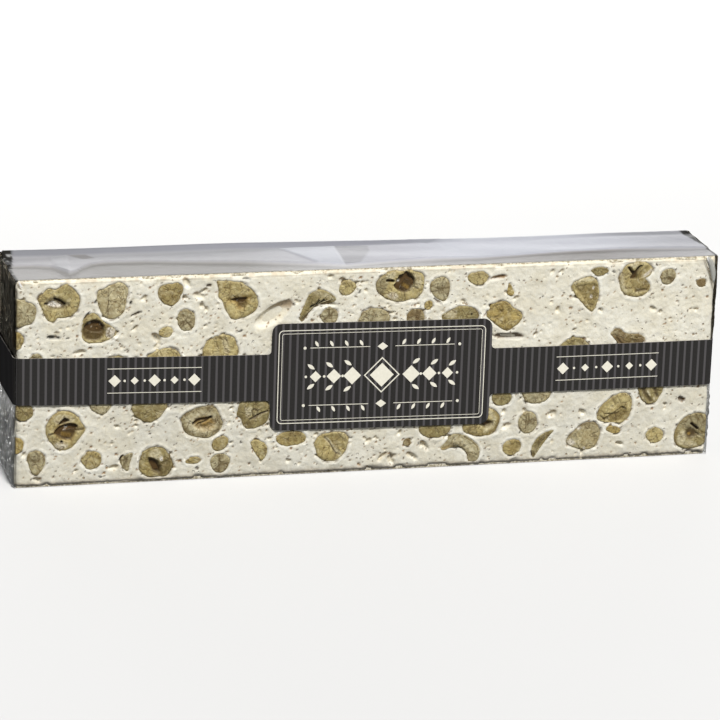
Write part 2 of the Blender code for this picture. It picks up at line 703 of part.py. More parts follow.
clear_scene()
materials = {
    "nougat": make_material("nougat", (0.74, 0.66, 0.50), 0.6),
    "hazelnut": make_material("hazelnut", (0.42, 0.30, 0.13), 0.55),
    "wafer": make_material("wafer", (0.62, 0.62, 0.66), 0.7),
    "band": make_material("band", (0.032, 0.028, 0.028), 0.6),
    "film": make_material("film", (0.12, 0.12, 0.12), 0.15),
}
build()
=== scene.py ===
"""Looks of the wrapped hazelnut nougat bar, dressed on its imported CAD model.

X is the length, Y the thickness (the front face looks along -Y) and Z the height. Sizes are in
millimetres, as in the CAD model, and become metres when a mesh is made. A cut face is described
by how far across it a point lies, how far up, and how far out of it the point stands.
"""

import math
import random
from collections import namedtuple

import bpy
import numpy as np
from mathutils import Matrix, Vector, noise


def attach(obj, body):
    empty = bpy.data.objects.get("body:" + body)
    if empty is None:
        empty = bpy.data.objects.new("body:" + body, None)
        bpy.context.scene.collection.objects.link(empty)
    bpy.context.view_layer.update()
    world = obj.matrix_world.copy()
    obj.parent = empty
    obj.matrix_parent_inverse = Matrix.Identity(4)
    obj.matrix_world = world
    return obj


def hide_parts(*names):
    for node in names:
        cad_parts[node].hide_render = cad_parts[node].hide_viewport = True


MM = 0.001

# The bar, as in the CAD model
HALF_LENGTH = 98.8
HALF_THICKNESS = 12.9
NOUGAT_LOW = 0.85
NOUGAT_HIGH = 57.1
BAR_HEIGHT = 58.0
PAPER_FRONT = 13.45
BAND_MIDDLE = 27.78
BAND_SLOPE = -0.0141
BAND_SAG = 0.00009
BAND_HEIGHT = 13.1
BAND_REACH = 99.5
PLATE_CENTRE = 2.7
PLATE_WIDTH = 62.6
PLATE_HEIGHT = 30.4

# The camera, fitted to the photograph's view
CAMERA_TARGET = (0.05, 0.0, 28.13)
CAMERA_DISTANCE = 1021.5
CAMERA_AZIMUTH = -15.37
CAMERA_ELEVATION = 16.41
CAMERA_ROLL = 2.0
CAMERA_LENS = 183.7
CAMERA_SENSOR = 36.0
CAMERA_CLIP = (0.05, 20.0)

# The four cut faces: the axis that each looks along, and to which side
FACES = {"front": (1, -1), "back": (1, 1), "left": (0, -1), "right": (0, 1)}
HALF_SIZES = (HALF_LENGTH, HALF_THICKNESS)

# The wall of the nougat: cells along each side and up, the rounding of its upright edges, how thick
# the finer slab in front is, how its sides draw in, and the gap behind it
FRONT_CELL = 0.345
BACK_CELL = 0.48
CELLS_CORNER = 3
WALL_CORNER = 1.2
SLAB_DEPTH = 3.0
SLAB_INSET = 0.3
SLAB_GAP = 0.1

# Unevenness in layers, each with the size of its lumps in millimetres, its height or strength, and
# its seed
WALL_LUMPS = ((7.0, 0.14, 1), (1.9, 0.12, 2), (0.9, 0.09, 3))
WALL_MOTTLE = ((14.0, 0.05, 4), (3.0, 0.05, 5))
NUT_LUMPS = ((2.6, 0.09, 1), (0.9, 0.06, 2))
OUTLINE_LUMPS = ((3.4, 1.1, 0), (1.1, 0.55, 9))

# The crumbled edges along the top and the foot, and the sockets round the nuts
EDGE_REACH = 0.8
SOCKET_REACH = 1.6
SOCKET_LIP = 0.12
SOCKET_DEPTH = 1.0
SOCKET_CRACK = 0.45

# The cut faces of nuts and of smaller pieces: points round and outward, how far they stand out, and
# how deep their edge and their root lie behind the face, and how far above the foot they stay
NUT_SPOKES = 84
NUT_RINGS = 24
NUT_RISE = 0.12
CHIP_SPOKES = 44
CHIP_RINGS = 11
CHIP_RISE = 0.1
NUT_EDGE_DEPTH = 0.4
NUT_ROOT = 1.3
FOOT_MARGIN = 0.1
NUT_WOBBLE = 0.12

# How rough an outline gets that is drawn here, that of a CAD oval and that of a smaller piece, and
# the first seed and the cracks of the smaller pieces
DRAWN_ROUGHNESS = 0.2
OVAL_ROUGHNESS = 0.45
CHIP_ROUGHNESS = 0.3
CHIP_SEED = 200
CHIP_CRACKS = 6
SEEDS_PER_FACE = 40

Shape = namedtuple("Shape", "tone x z width height turn taper bend", defaults=(0, 0, 0))
Hollow = namedtuple("Hollow", "across up width height turn depth fill star", defaults=(0.1,))
Strewn = namedtuple("Strewn", "density half_length flatness depth fills")
Mark = namedtuple("Mark", "tone path width depth soft share", defaults=(0.0, 0.0, 0.3, 1.0))
Look = namedtuple("Look", "tone outline marks", defaults=((), ()))
Station = namedtuple("Station", "x tone")
Facet = namedtuple("Facet", "corners tone rise")
Crease = namedtuple("Crease", "points width tone")
Lamp = namedtuple("Lamp", "name place target size power")


def srgb(red, green, blue):
    """The linear colour of an sRGB one, given in steps of 255."""
    steps = [value / 255 for value in (red, green, blue)]
    return tuple(s / 12.92 if s <= 0.04045 else ((s + 0.055) / 1.055) ** 2.4 for s in steps)


TONES = {
    "pale": srgb(196, 187, 152),
    "tan": srgb(186, 173, 124),
    "grey": srgb(176, 168, 136),
    "ochre": srgb(166, 151, 102),
    "yellow": srgb(172, 154, 98),
    "olive": srgb(152, 141, 98),
    "brown": srgb(124, 107, 74),
}
# Painted shade in the nougat's voids and cracks and along its top edge and foot; a white fill stands for a
# floor of warm cream instead
SHADE_FILLS = {
    "dark": srgb(24, 15, 8),
    "brown": srgb(84, 60, 30),
    "amber": srgb(140, 104, 54),
    "white": srgb(216, 210, 194),
}
SKIN = srgb(84, 64, 34)
CREAM = srgb(221, 218, 205)
CREAM_WARM = srgb(221, 212, 187)
# Painted highlight on the lower rims of bubbles and on the lips round the nuts
CREAM_HIGHLIGHT = srgb(238, 237, 229)

# Colours of what shows in a cut nut: its cavity, whose dark and umber are painted shade, cracks, paler and
# darker flesh
MARK_TONES = {
    "dark": srgb(24, 15, 8),
    "umber": srgb(78, 62, 34),
    "shade": srgb(100, 84, 50),
    "amber": srgb(164, 134, 66),
    "khaki": srgb(138, 123, 78),
    "grey": srgb(146, 138, 110),
    "gold": srgb(180, 164, 108),
    "tan": srgb(180, 168, 128),
    "pale": srgb(214, 207, 178),
    "white": srgb(228, 224, 214),
}

# The front hazelnuts, by the number in their node's name: the tone of the flesh, the outline if
# it isn't the CAD model's oval, and marks over one another. A mark is a filled shape, or a stroke
# if it has a width, with its depth, the softness of its edge and how strongly it covers.
FRONT_LOOKS = {
    1: Look("grey"),
    2: Look("tan", (
        (-93.2, 52.8), (-91.6, 54.6), (-90.0, 55.9), (-88.3, 55.4), (-86.0, 56.7), (-84.3, 56.3),
        (-81.3, 52.9), (-81.9, 49.3), (-84.0, 47.4), (-87.5, 47.1), (-88.9, 46.1), (-90.8, 47.0),
        (-92.2, 50.0),
    ), (
        Mark("umber", ((-91.2, 51.4), (-88.8, 53.2), (-86.2, 52.4), (-84.8, 51.0), (-86.4, 49.8),
                       (-89.6, 50.0)), 0, 0.4, 0.7, 0.75),
        Mark("dark", ((-88.4, 52.6), (-86.8, 51.9), (-85.8, 51.0)), 0.6, 0.8, 0.3),
        Mark("dark", ((-91.2, 51.3), (-90.4, 51.2)), 0.4, 0.8, 0.15),
        Mark("white", ((-90.6, 51.2), (-89.0, 52.2), (-87.4, 51.6), (-86.4, 50.7), (-88.2, 50.4)),
             0, 0.5, 0.12),
        Mark("shade", ((-92.0, 54.0), (-90.6, 52.6)), 0.35, 0.1, 0.2, 0.8),
        Mark("shade", ((-92.6, 52.4), (-91.4, 52.2)), 0.35, 0.1, 0.2, 0.8),
    )),
    3: Look("tan", (
        (-81.4, 44.0), (-80.6, 46.6), (-79.2, 48.2), (-77.6, 48.4), (-75.2, 46.2), (-71.9, 43.8),
        (-71.6, 42.4), (-73.0, 40.6), (-76.2, 39.7), (-79.4, 39.9), (-81.0, 41.2),
    ), (
        Mark("shade", ((-80.9, 43.8), (-79.6, 45.8), (-76.4, 46.2), (-74.8, 43.6), (-76.0, 41.0),
                       (-78.6, 40.7), (-80.4, 41.6)), 0, 0.7, 0.45),
        Mark("dark", ((-80.2, 44.4), (-78.6, 45.9), (-76.4, 45.7), (-75.3, 44.2), (-76.0, 43.1),
                      (-78.4, 43.4)), 0, 1.2, 0.4),
        Mark("white", ((-74.3, 43.8), (-73.0, 44.2), (-71.9, 43.0), (-72.9, 41.2), (-74.3, 41.8)),
             0, 0, 0.3, 0.75),
        Mark("shade", ((-80.8, 45.2), (-79.6, 47.2), (-78.2, 48.0)), 0.3, 0.1, 0.2, 0.6),
    )),
    4: Look("pale", (
        (-77.0, 54.2), (-75.0, 55.3), (-72.4, 56.5), (-70.3, 56.7), (-68.5, 55.4), (-68.3, 53.4),
        (-69.0, 51.0), (-69.4, 48.4), (-71.0, 46.8), (-73.6, 46.2), (-76.0, 48.2), (-77.1, 51.0),
    ), (
        Mark("shade", ((-73.9, 55.0), (-74.1, 52.6), (-73.8, 51.0), (-74.3, 48.8)), 0.3, 0.15, 0.15, 0.8),
        Mark("shade", ((-70.0, 55.9), (-69.3, 54.6), (-69.2, 53.2)), 0.25, 0.05, 0.2, 0.5),
        Mark("tan", ((-75.6, 53.6), (-75.2, 50.0)), 1.6, 0, 0.8, 0.5),
    )),
    5: Look("tan", (
        (-44.6, 56.3), (-42.4, 56.2), (-40.0, 55.9), (-37.2, 55.4), (-34.4, 53.5), (-32.7, 51.4),
        (-32.6, 48.4), (-34.4, 46.0), (-38.2, 44.8), (-40.4, 45.4), (-42.1, 48.2), (-42.6, 50.0),
        (-44.0, 51.6), (-43.9, 53.4),
    ), (
        Mark("amber", ((-41.2, 50.6), (-38.0, 51.4), (-34.6, 51.2), (-36.0, 49.0), (-37.2, 47.6),
                       (-39.0, 49.2)), 0, 0.5, 0.9, 0.75),
        Mark("umber", ((-38.4, 50.6), (-36.0, 50.4), (-36.2, 48.6), (-37.6, 48.6)), 0, 0.5, 0.5, 0.8),
        Mark("dark", ((-40.1, 50.5), (-38.2, 50.9), (-35.7, 50.8), (-37.2, 49.8)), 0, 0.9, 0.3),
        Mark("shade", ((-42.2, 54.1), (-40.8, 53.8), (-40.5, 55.6)), 0.3, 0.1, 0.2, 0.8),
    )),
    6: Look("olive", (
        (-15.4, 52.6), (-13.2, 51.8), (-10.9, 50.0), (-11.2, 48.9), (-13.4, 48.1), (-16.6, 47.4),
        (-18.0, 46.0), (-19.8, 43.7), (-21.0, 44.2), (-20.6, 46.4), (-19.5, 49.3), (-18.4, 51.3),
    ), (
        Mark("pale", ((-16.4, 51.8), (-13.2, 50.8), (-11.8, 49.7)), 1.0, 0, 0.6, 0.5),
        Mark("umber", ((-12.6, 48.7), (-15.2, 48.3), (-17.2, 47.4), (-18.4, 45.9), (-19.8, 44.4)),
             1.3, 0.3, 0.6, 0.85),
        Mark("white", ((-15.6, 48.9), (-15.4, 48.1)), 0.5, 0, 0.1),
    )),
    7: Look("tan", (
        (0.0, 53.4), (0.8, 55.0), (3.0, 56.7), (5.6, 57.1), (8.0, 57.1), (11.4, 57.0), (13.4, 56.2),
        (14.3, 54.4), (14.0, 51.2), (12.6, 49.3), (8.8, 48.1), (6.0, 48.0), (2.8, 49.2), (0.6, 51.2),
    ), (
        Mark("grey", ((0.4, 53.4), (1.6, 55.2), (3.4, 55.0), (3.6, 53.0), (2.4, 51.2), (1.2, 51.4)),
             0, 0, 0.4, 0.7),
        Mark("pale", ((3.0, 55.8), (5.4, 56.8), (5.8, 55.4), (4.2, 54.6)), 0, 0, 0.3, 0.6),
        Mark("white", ((3.4, 50.2), (5.4, 51.0), (6.6, 50.0), (5.6, 48.8)), 0, 0, 0.4, 0.5),
        Mark("pale", ((10.6, 56.0), (12.8, 55.4), (13.2, 53.0), (11.8, 52.0)), 0, 0, 0.5, 0.5),
        Mark("umber", ((5.8, 52.6), (6.8, 55.2), (9.4, 56.4), (11.0, 54.8), (10.8, 52.6), (9.0, 50.9),
                       (7.2, 51.2)), 0, 0.7, 0.35),
        Mark("dark", ((5.5, 52.8), (6.5, 54.0), (7.0, 55.7), (8.9, 55.8), (8.5, 54.4), (7.7, 53.5),
                      (7.3, 51.9), (6.4, 51.7)), 0, 1.2, 0.25),
        Mark("dark", ((8.8, 56.4), (9.1, 55.1), (10.2, 54.7), (10.8, 53.2)), 0.8, 1.1, 0.25),
        Mark("amber", ((8.2, 53.0), (9.4, 52.2)), 0.9, 0, 0.35, 0.6),
        Mark("dark", ((3.5, 54.3), (5.2, 54.2)), 0.7, 1.2, 0.15),
        Mark("umber", ((11.0, 52.4), (12.2, 51.8)), 0.3, 0.3, 0.15),
        Mark("shade", ((8.4, 51.0), (8.5, 49.0)), 0.3, 0.1, 0.2, 0.8),
    )),
    8: Look("yellow", (
        (32.0, 43.1), (33.0, 45.4), (33.8, 46.8), (37.1, 47.5), (38.6, 46.9), (40.2, 45.2),
        (42.0, 44.3), (42.8, 43.0), (42.4, 41.4), (40.8, 39.7), (38.3, 38.5), (35.6, 39.8),
        (33.8, 41.4),
    ), (
        Mark("gold", ((37.4, 46.8), (39.6, 45.0), (42.4, 43.4), (42.0, 41.8), (40.0, 43.0), (38.0, 45.0)),
             0, 0, 0.25, 0.7),
        Mark("shade", ((34.6, 46.0), (36.0, 46.4), (37.0, 44.8), (35.6, 44.2)), 0.4, 0.15, 0.25, 0.6),
        Mark("shade", ((34.2, 42.4), (35.6, 43.0), (36.6, 44.6)), 0.35, 0.15, 0.2, 0.6),
    )),
    9: Look("tan", (
        (56.5, 50.4), (57.0, 52.2), (59.0, 53.1), (62.2, 53.5), (64.0, 52.4), (64.8, 49.6),
        (64.5, 46.2), (63.8, 44.0), (63.0, 43.0), (61.6, 43.8), (59.2, 46.2), (57.6, 48.0),
    ), (
        Mark("khaki", ((57.6, 50.2), (60.6, 51.2), (64.0, 51.0), (64.0, 48.0), (63.2, 44.6), (62.0, 44.6),
                       (59.6, 48.0)), 0, 0.3, 0.4, 0.75),
        Mark("pale", ((57.4, 51.6), (59.4, 52.7), (63.0, 52.5)), 0.9, 0, 0.4, 0.6),
        Mark("white", ((63.0, 50.3), (63.0, 49.9)), 0.6, 0, 0.15),
        Mark("white", ((62.4, 47.9), (62.5, 47.4)), 0.7, 0, 0.15),
    )),
    10: Look("tan", (
        (70.2, 52.0), (70.6, 54.2), (72.2, 56.4), (74.6, 57.1), (77.8, 57.1), (80.2, 55.6),
        (79.8, 53.4), (78.4, 52.2), (79.8, 50.2), (79.3, 48.2), (77.0, 46.8), (73.6, 46.9),
        (71.2, 48.6),
    ), (
        Mark("khaki", ((74.2, 52.4), (77.0, 54.8), (78.4, 55.8), (78.2, 52.4), (79.4, 50.2), (78.0, 48.6),
                       (75.0, 48.8), (73.8, 50.6)), 0, 0.3, 0.4, 0.7),
        Mark("pale", ((73.2, 56.4), (76.0, 57.0), (75.6, 55.8), (74.2, 55.4)), 0, 0, 0.3, 0.6),
        Mark("pale", ((70.8, 53.6), (71.4, 51.0), (72.4, 48.8)), 1.2, 0, 0.4, 0.45),
        Mark("umber", ((73.2, 55.6), (74.0, 53.6), (73.6, 52.4), (75.2, 52.2), (75.8, 54.2), (76.8, 56.0),
                       (75.6, 55.4), (74.6, 54.4)), 0, 1.0, 0.25),
        Mark("dark", ((73.0, 55.6), (74.2, 53.8)), 0.4, 0.8, 0.15),
        Mark("white", ((77.8, 52.9), (79.6, 54.6)), 0.8, 0, 0.2, 0.8),
        Mark("umber", ((75.4, 48.6), (77.0, 48.9), (78.6, 49.0)), 0.5, 0.3, 0.25, 0.8),
    )),
    11: Look("olive"),
    12: Look("tan", (), (Mark("umber", ((60.3, 37.0), (60.6, 34.0)), 0.4, 0.3, 0.2, 0.7),)),
    13: Look("tan", (
        (-47.9, 36.5), (-47.4, 38.2), (-46.2, 39.7), (-42.6, 40.9), (-40.4, 40.7), (-38.8, 39.8),
        (-37.9, 37.8), (-37.6, 35.4), (-40.0, 32.8), (-44.6, 32.2), (-47.6, 33.8),
    ), (
        Mark("pale", ((-41.6, 39.2), (-41.0, 36.4)), 1.6, 0, 0.6, 0.45),
        Mark("shade", ((-44.6, 39.9), (-43.4, 40.3), (-42.6, 39.6)), 0.5, 0.2, 0.25, 0.8),
        Mark("shade", ((-44.2, 39.0), (-43.4, 37.0)), 0.35, 0.15, 0.2, 0.7),
        Mark("shade", ((-42.2, 40.2), (-41.0, 39.0)), 0.3, 0.1, 0.2, 0.7),
    )),
    14: Look("grey"),
    15: Look("olive", (
        (19.2, 43.5), (20.6, 45.0), (24.2, 46.4), (26.4, 46.5), (28.4, 45.9), (29.8, 44.7),
        (30.3, 42.8), (28.0, 40.6), (24.0, 40.0), (20.6, 41.2),
    ), (
        Mark("pale", ((19.8, 43.6), (21.2, 45.0), (23.4, 45.4), (23.6, 43.8), (22.2, 43.0)),
             0, 0, 0.3, 0.6),
        Mark("shade", ((20.6, 45.0), (23.0, 45.9)), 0.35, 0.2, 0.2, 0.8),
        Mark("shade", ((28.4, 45.6), (29.7, 44.4), (30.0, 43.0)), 0.5, 0.1, 0.3, 0.7),
        Mark("dark", ((28.0, 43.9), (27.9, 43.7)), 0.4, 0.5, 0.1),
    )),
    16: Look("olive"),
    17: Look("brown", (
        (68.4, 36.7), (69.7, 38.1), (71.4, 38.1), (73.2, 36.6), (76.6, 36.4), (78.9, 35.1),
        (78.2, 33.6), (76.0, 31.6), (72.0, 31.8), (70.3, 34.4), (69.0, 36.0),
    ), (
        Mark("khaki", ((73.6, 36.0), (77.0, 35.6), (76.4, 34.0), (73.2, 34.2)), 0, 0, 0.4, 0.6),
        Mark("grey", ((69.0, 36.8), (70.4, 37.8), (71.0, 36.6), (70.0, 35.8)), 0, 0, 0.3, 0.6),
        Mark("umber", ((70.4, 35.4), (72.0, 33.8)), 0.5, 0.2, 0.3, 0.7),
    )),
    18: Look("grey"),
    19: Look("olive"),
    20: Look("grey", (
        (-53.6, 17.6), (-52.4, 19.2), (-49.6, 20.3), (-47.0, 21.1), (-44.6, 21.0), (-43.1, 19.8),
        (-41.7, 16.8), (-41.6, 14.6), (-43.4, 12.4), (-46.1, 11.4), (-50.6, 12.3), (-52.9, 14.0),
    ), (
        Mark("pale", ((-52.0, 17.2), (-49.6, 18.8), (-46.4, 19.2), (-43.8, 17.4), (-44.2, 14.4),
                      (-47.4, 13.0), (-50.6, 14.4)), 0, 0, 0.8, 0.6),
        Mark("shade", ((-53.0, 18.2), (-50.4, 19.6), (-47.8, 20.4), (-45.6, 20.2)), 0.8, 0.1, 0.35, 0.6),
        Mark("shade", ((-43.0, 17.8), (-42.4, 15.6), (-43.2, 13.4)), 1.1, 0.1, 0.4, 0.5),
        Mark("shade", ((-53.2, 16.0), (-52.2, 14.0), (-49.8, 12.9)), 0.7, 0.1, 0.35, 0.6),
        Mark("amber", ((-49.8, 16.2), (-47.8, 17.8), (-45.2, 17.6), (-43.8, 16.2), (-44.8, 14.4),
                       (-48.0, 14.4)), 0, 0.5, 0.9, 0.85),
        Mark("umber", ((-48.8, 15.3), (-47.0, 14.8), (-45.2, 15.4)), 1.0, 0.2, 0.5, 0.6),
        Mark("dark", ((-49.8, 16.0), (-48.4, 16.9), (-46.8, 17.0), (-45.0, 17.5)), 0.7, 0.9, 0.2),
        Mark("dark", ((-48.4, 15.9), (-46.8, 16.3), (-45.8, 16.9)), 0.35, 0.6, 0.12),
    )),
    21: Look("olive", (
        (-37.7, 19.5), (-38.0, 18.0), (-36.8, 16.3), (-35.9, 14.3), (-34.1, 13.4), (-31.8, 13.8),
        (-29.8, 14.6), (-28.7, 16.0), (-28.4, 18.8), (-29.4, 22.0), (-33.2, 23.4), (-36.6, 22.2),
    ), (
        Mark("pale", ((-35.4, 19.6), (-33.6, 19.8), (-34.2, 17.4), (-35.0, 17.0)), 0, 0, 0.4, 0.6),
        Mark("shade", ((-37.0, 20.0), (-37.2, 18.2), (-35.8, 15.6), (-33.8, 14.4)), 1.0, 0.1, 0.5, 0.5),
        Mark("umber", ((-33.6, 18.8), (-32.8, 19.3), (-31.9, 18.6), (-32.2, 17.4), (-33.2, 17.2),
                       (-33.6, 18.8)), 0.35, 0.3, 0.15, 0.8),
        Mark("umber", ((-34.1, 16.5), (-32.8, 16.9), (-31.4, 17.9), (-29.0, 18.6)), 0.45, 0.5, 0.2),
    )),
    22: Look("olive"),
    23: Look("tan", (
        (33.2, 17.0), (35.4, 16.2), (37.1, 14.9), (37.8, 13.2), (37.2, 10.8), (35.8, 8.8), (33.6, 8.1),
        (30.0, 8.4), (27.2, 9.4), (26.4, 11.4), (27.4, 14.4), (30.0, 16.6),
    ), (
        Mark("khaki", ((36.4, 15.4), (37.3, 13.2), (36.6, 10.8), (34.6, 8.9), (31.0, 8.7), (28.0, 9.4)),
             1.1, 0.1, 0.3, 0.8),
        Mark("pale", ((34.4, 15.4), (35.8, 13.4), (35.4, 11.4), (33.4, 10.0)), 1.2, 0, 0.5, 0.5),
        Mark("umber", ((31.4, 12.4), (33.2, 13.0), (35.2, 12.0), (33.4, 10.8)), 0, 0.9, 0.7, 0.9),
        Mark("dark", ((31.8, 12.4), (33.2, 12.7), (34.4, 12.0), (33.0, 11.6)), 0, 0.9, 0.3),
    )),
    24: Look("grey"),
    25: Look("tan", (
        (65.6, 12.0), (66.3, 14.8), (68.4, 17.0), (71.2, 18.9), (73.2, 19.4), (75.0, 18.8),
        (76.4, 16.8), (76.3, 14.0), (75.6, 11.8), (73.6, 10.2), (70.4, 10.3), (67.0, 10.8),
    ), (
        Mark("khaki", ((67.8, 11.6), (69.6, 12.8), (72.0, 13.6), (73.0, 15.2), (74.4, 14.4), (74.0, 12.4),
                       (72.4, 10.8), (69.8, 10.8)), 0, 0.5, 0.25, 0.85),
        Mark("umber", ((67.0, 12.8), (68.4, 11.4)), 0.45, 0.3, 0.2, 0.8),
        Mark("shade", ((68.2, 13.2), (70.6, 13.2), (72.6, 14.6)), 0.35, 0.3, 0.15, 0.8),
        Mark("shade", ((70.2, 17.8), (71.0, 16.2)), 0.35, 0.1, 0.2, 0.6),
        Mark("shade", ((71.6, 18.4), (72.8, 16.4)), 0.3, 0.1, 0.2, 0.6),
    )),
    26: Look("olive", (
        (77.5, 20.4), (78.0, 18.6), (78.8, 16.7), (80.3, 15.6), (82.2, 15.4), (83.7, 16.0),
        (84.5, 17.6), (85.3, 19.4), (84.6, 21.8), (81.4, 23.0), (78.4, 22.2),
    ), (
        Mark("umber", ((79.0, 20.4), (80.0, 18.4), (81.6, 16.6)), 0.9, 0.3, 0.4, 0.8),
        Mark("umber", ((82.6, 20.0), (83.4, 17.8)), 0.8, 0.3, 0.4, 0.8),
        Mark("pale", ((80.6, 19.4), (81.4, 18.0)), 0.5, 0, 0.2, 0.8),
        Mark("pale", ((82.6, 17.4), (82.8, 16.6)), 0.4, 0, 0.2, 0.7),
        Mark("pale", ((79.0, 17.8), (80.2, 16.4)), 0.4, 0, 0.2, 0.6),
    )),
    27: Look("tan", (
        (-90.7, 16.8), (-89.8, 19.2), (-88.0, 20.8), (-86.0, 21.5), (-83.6, 21.0), (-81.2, 18.7),
        (-79.6, 15.9), (-80.8, 13.4), (-82.9, 10.9), (-85.2, 9.9), (-87.6, 10.2), (-89.5, 12.4),
        (-90.6, 14.7),
    ), (
        Mark("pale", ((-88.4, 19.6), (-86.0, 20.4), (-83.4, 19.6), (-83.0, 18.2), (-85.6, 17.4),
                      (-88.0, 18.0)), 0, 0, 0.4, 0.6),
        Mark("white", ((-88.4, 11.8), (-86.4, 12.6), (-84.4, 11.4), (-86.6, 10.4)), 0, 0, 0.4, 0.5),
        Mark("amber", ((-88.6, 15.4), (-86.6, 18.0), (-83.6, 18.0), (-81.8, 16.0), (-83.2, 13.2),
                       (-86.0, 13.0)), 0, 0.2, 0.6, 0.5),
        Mark("umber", ((-87.8, 15.0), (-86.6, 16.8), (-83.6, 17.4), (-82.2, 15.8), (-83.4, 13.4),
                       (-85.0, 13.0), (-86.8, 13.8)), 0, 0.8, 0.3),
        Mark("amber", ((-86.0, 14.6), (-84.0, 14.2)), 1.0, 0, 0.4, 0.5),
        Mark("dark", ((-88.2, 15.0), (-87.2, 16.4), (-85.0, 17.5), (-82.4, 17.2), (-82.3, 16.2),
                      (-85.2, 15.9), (-87.2, 14.8)), 0, 1.1, 0.3),
        Mark("dark", ((-87.0, 17.4), (-86.2, 18.4), (-85.3, 19.2), (-84.2, 18.4), (-85.6, 17.7)),
             0, 1.2, 0.15),
        Mark("umber", ((-82.4, 15.7), (-80.2, 15.8)), 0.3, 0.4, 0.12),
        Mark("umber", ((-89.8, 14.7), (-88.0, 15.0)), 0.4, 0.4, 0.15),
        Mark("dark", ((-86.3, 12.5), (-86.2, 12.4)), 0.6, 0.8, 0.1),
    )),
    28: Look("olive", (
        (-64.9, 6.6), (-64.0, 8.8), (-62.0, 9.9), (-59.6, 10.1), (-57.6, 9.3), (-56.4, 7.6),
        (-55.0, 5.0), (-55.4, 3.0), (-56.8, 1.3), (-59.0, 1.0), (-62.4, 1.1), (-64.4, 2.4),
        (-65.1, 4.4),
    ), (
        Mark("pale", ((-61.8, 8.6), (-60.0, 9.6), (-58.6, 8.0), (-58.4, 6.4), (-60.6, 6.2), (-62.0, 7.2)),
             0, 0, 0.35, 0.65),
        Mark("shade", ((-59.0, 4.4), (-56.4, 6.8), (-56.0, 4.2), (-57.4, 1.8), (-59.4, 1.8)),
             0, 0.1, 0.4, 0.6),
        Mark("gold", ((-64.0, 5.0), (-62.0, 5.6), (-60.8, 3.0), (-62.4, 1.6), (-64.0, 2.8)),
             0, 0, 0.5, 0.5),
        Mark("umber", ((-62.2, 6.6), (-60.0, 6.0), (-58.8, 4.2), (-59.0, 2.6), (-60.6, 2.8), (-61.6, 4.6)),
             0, 0.8, 0.5, 0.85),
        Mark("dark", ((-62.0, 6.2), (-60.6, 5.8), (-59.4, 4.0), (-59.6, 3.0), (-60.8, 3.6)), 0, 1.1, 0.2),
        Mark("white", ((-58.7, 6.6), (-58.6, 6.2)), 0.9, 0, 0.15),
        Mark("umber", ((-56.4, 7.0), (-55.4, 5.2), (-55.6, 3.4)), 0.4, 0.3, 0.2, 0.7),
    )),
    29: Look("tan", (
        (-15.8, 8.4), (-14.8, 10.6), (-12.8, 11.5), (-9.6, 11.9), (-7.2, 11.3), (-6.0, 9.6),
        (-5.9, 7.2), (-6.6, 5.4), (-9.2, 3.4), (-11.4, 3.0), (-13.6, 3.7), (-14.9, 5.4),
    ), (
        Mark("khaki", ((-13.0, 10.4), (-9.4, 7.8), (-7.2, 6.6), (-7.6, 9.4), (-9.6, 11.0)),
             0, 0.1, 0.4, 0.6),
        Mark("gold", ((-14.4, 8.2), (-12.4, 8.2), (-10.2, 5.8), (-11.0, 3.8), (-13.4, 4.6)),
             0, 0, 0.4, 0.5),
        Mark("pale", ((-12.4, 10.0), (-10.9, 8.2), (-9.6, 6.4), (-8.2, 5.2)), 1.0, 0.1, 0.3, 0.7),
        Mark("umber", ((-12.8, 10.2), (-11.4, 8.8), (-10.6, 7.2), (-9.6, 5.6), (-8.4, 5.2)),
             0.3, 0.3, 0.15, 0.7),
        Mark("shade", ((-8.8, 11.0), (-7.4, 9.6), (-6.6, 8.6)), 0.3, 0.1, 0.15, 0.6),
    )),
    30: Look("grey", (
        (20.6, 5.6), (21.8, 7.0), (23.2, 8.8), (25.2, 9.6), (27.6, 9.0), (30.2, 7.2), (32.0, 4.8),
        (32.0, 2.6), (30.8, 1.1), (28.7, 1.1), (28.2, 3.0), (26.8, 4.7), (24.8, 5.7), (23.2, 5.3),
        (21.4, 4.8),
    ), (
        Mark("pale", ((24.6, 8.0), (27.4, 6.8), (29.8, 4.4)), 1.4, 0, 0.4, 0.5),
        Mark("umber", ((24.0, 5.7), (25.4, 5.8), (27.2, 4.8), (28.4, 3.2)), 0.4, 0.2, 0.2, 0.8),
        Mark("shade", ((27.2, 8.6), (29.4, 7.2), (31.0, 5.6), (31.5, 4.4)), 0.35, 0.1, 0.15, 0.7),
        Mark("amber", ((21.2, 5.3), (23.0, 6.0)), 0.8, 0.1, 0.3, 0.5),
    )),
    31: Look("olive", (
        (53.4, 9.0), (52.2, 9.0), (50.4, 8.3), (48.6, 7.0), (47.4, 5.2), (47.1, 3.6), (47.7, 1.5),
        (49.0, 3.0), (50.2, 4.8), (51.8, 7.0),
    ), (
        Mark("shade", ((48.4, 4.4), (49.6, 6.4), (51.6, 8.2)), 1.2, 0.1, 0.5, 0.6),
        Mark("umber", ((47.5, 3.0), (47.9, 2.0)), 0.7, 0.1, 0.3, 0.6),
    )),
    32: Look("grey", (
        (57.0, 5.4), (57.6, 7.4), (59.6, 9.2), (61.8, 10.7), (63.8, 11.2), (65.8, 10.8), (67.2, 8.8),
        (67.1, 6.0), (66.0, 3.8), (63.4, 2.6), (60.6, 3.2), (58.2, 4.0),
    ), (
        Mark("tan", ((60.4, 8.6), (64.2, 8.8), (66.6, 7.4), (66.0, 4.8), (63.6, 3.6), (61.2, 5.2)),
             0, 0, 0.5, 0.7),
        Mark("shade", ((57.7, 7.0), (59.4, 9.0), (61.8, 10.4), (64.0, 10.9), (65.8, 10.4)),
             0.8, 0.1, 0.35, 0.75),
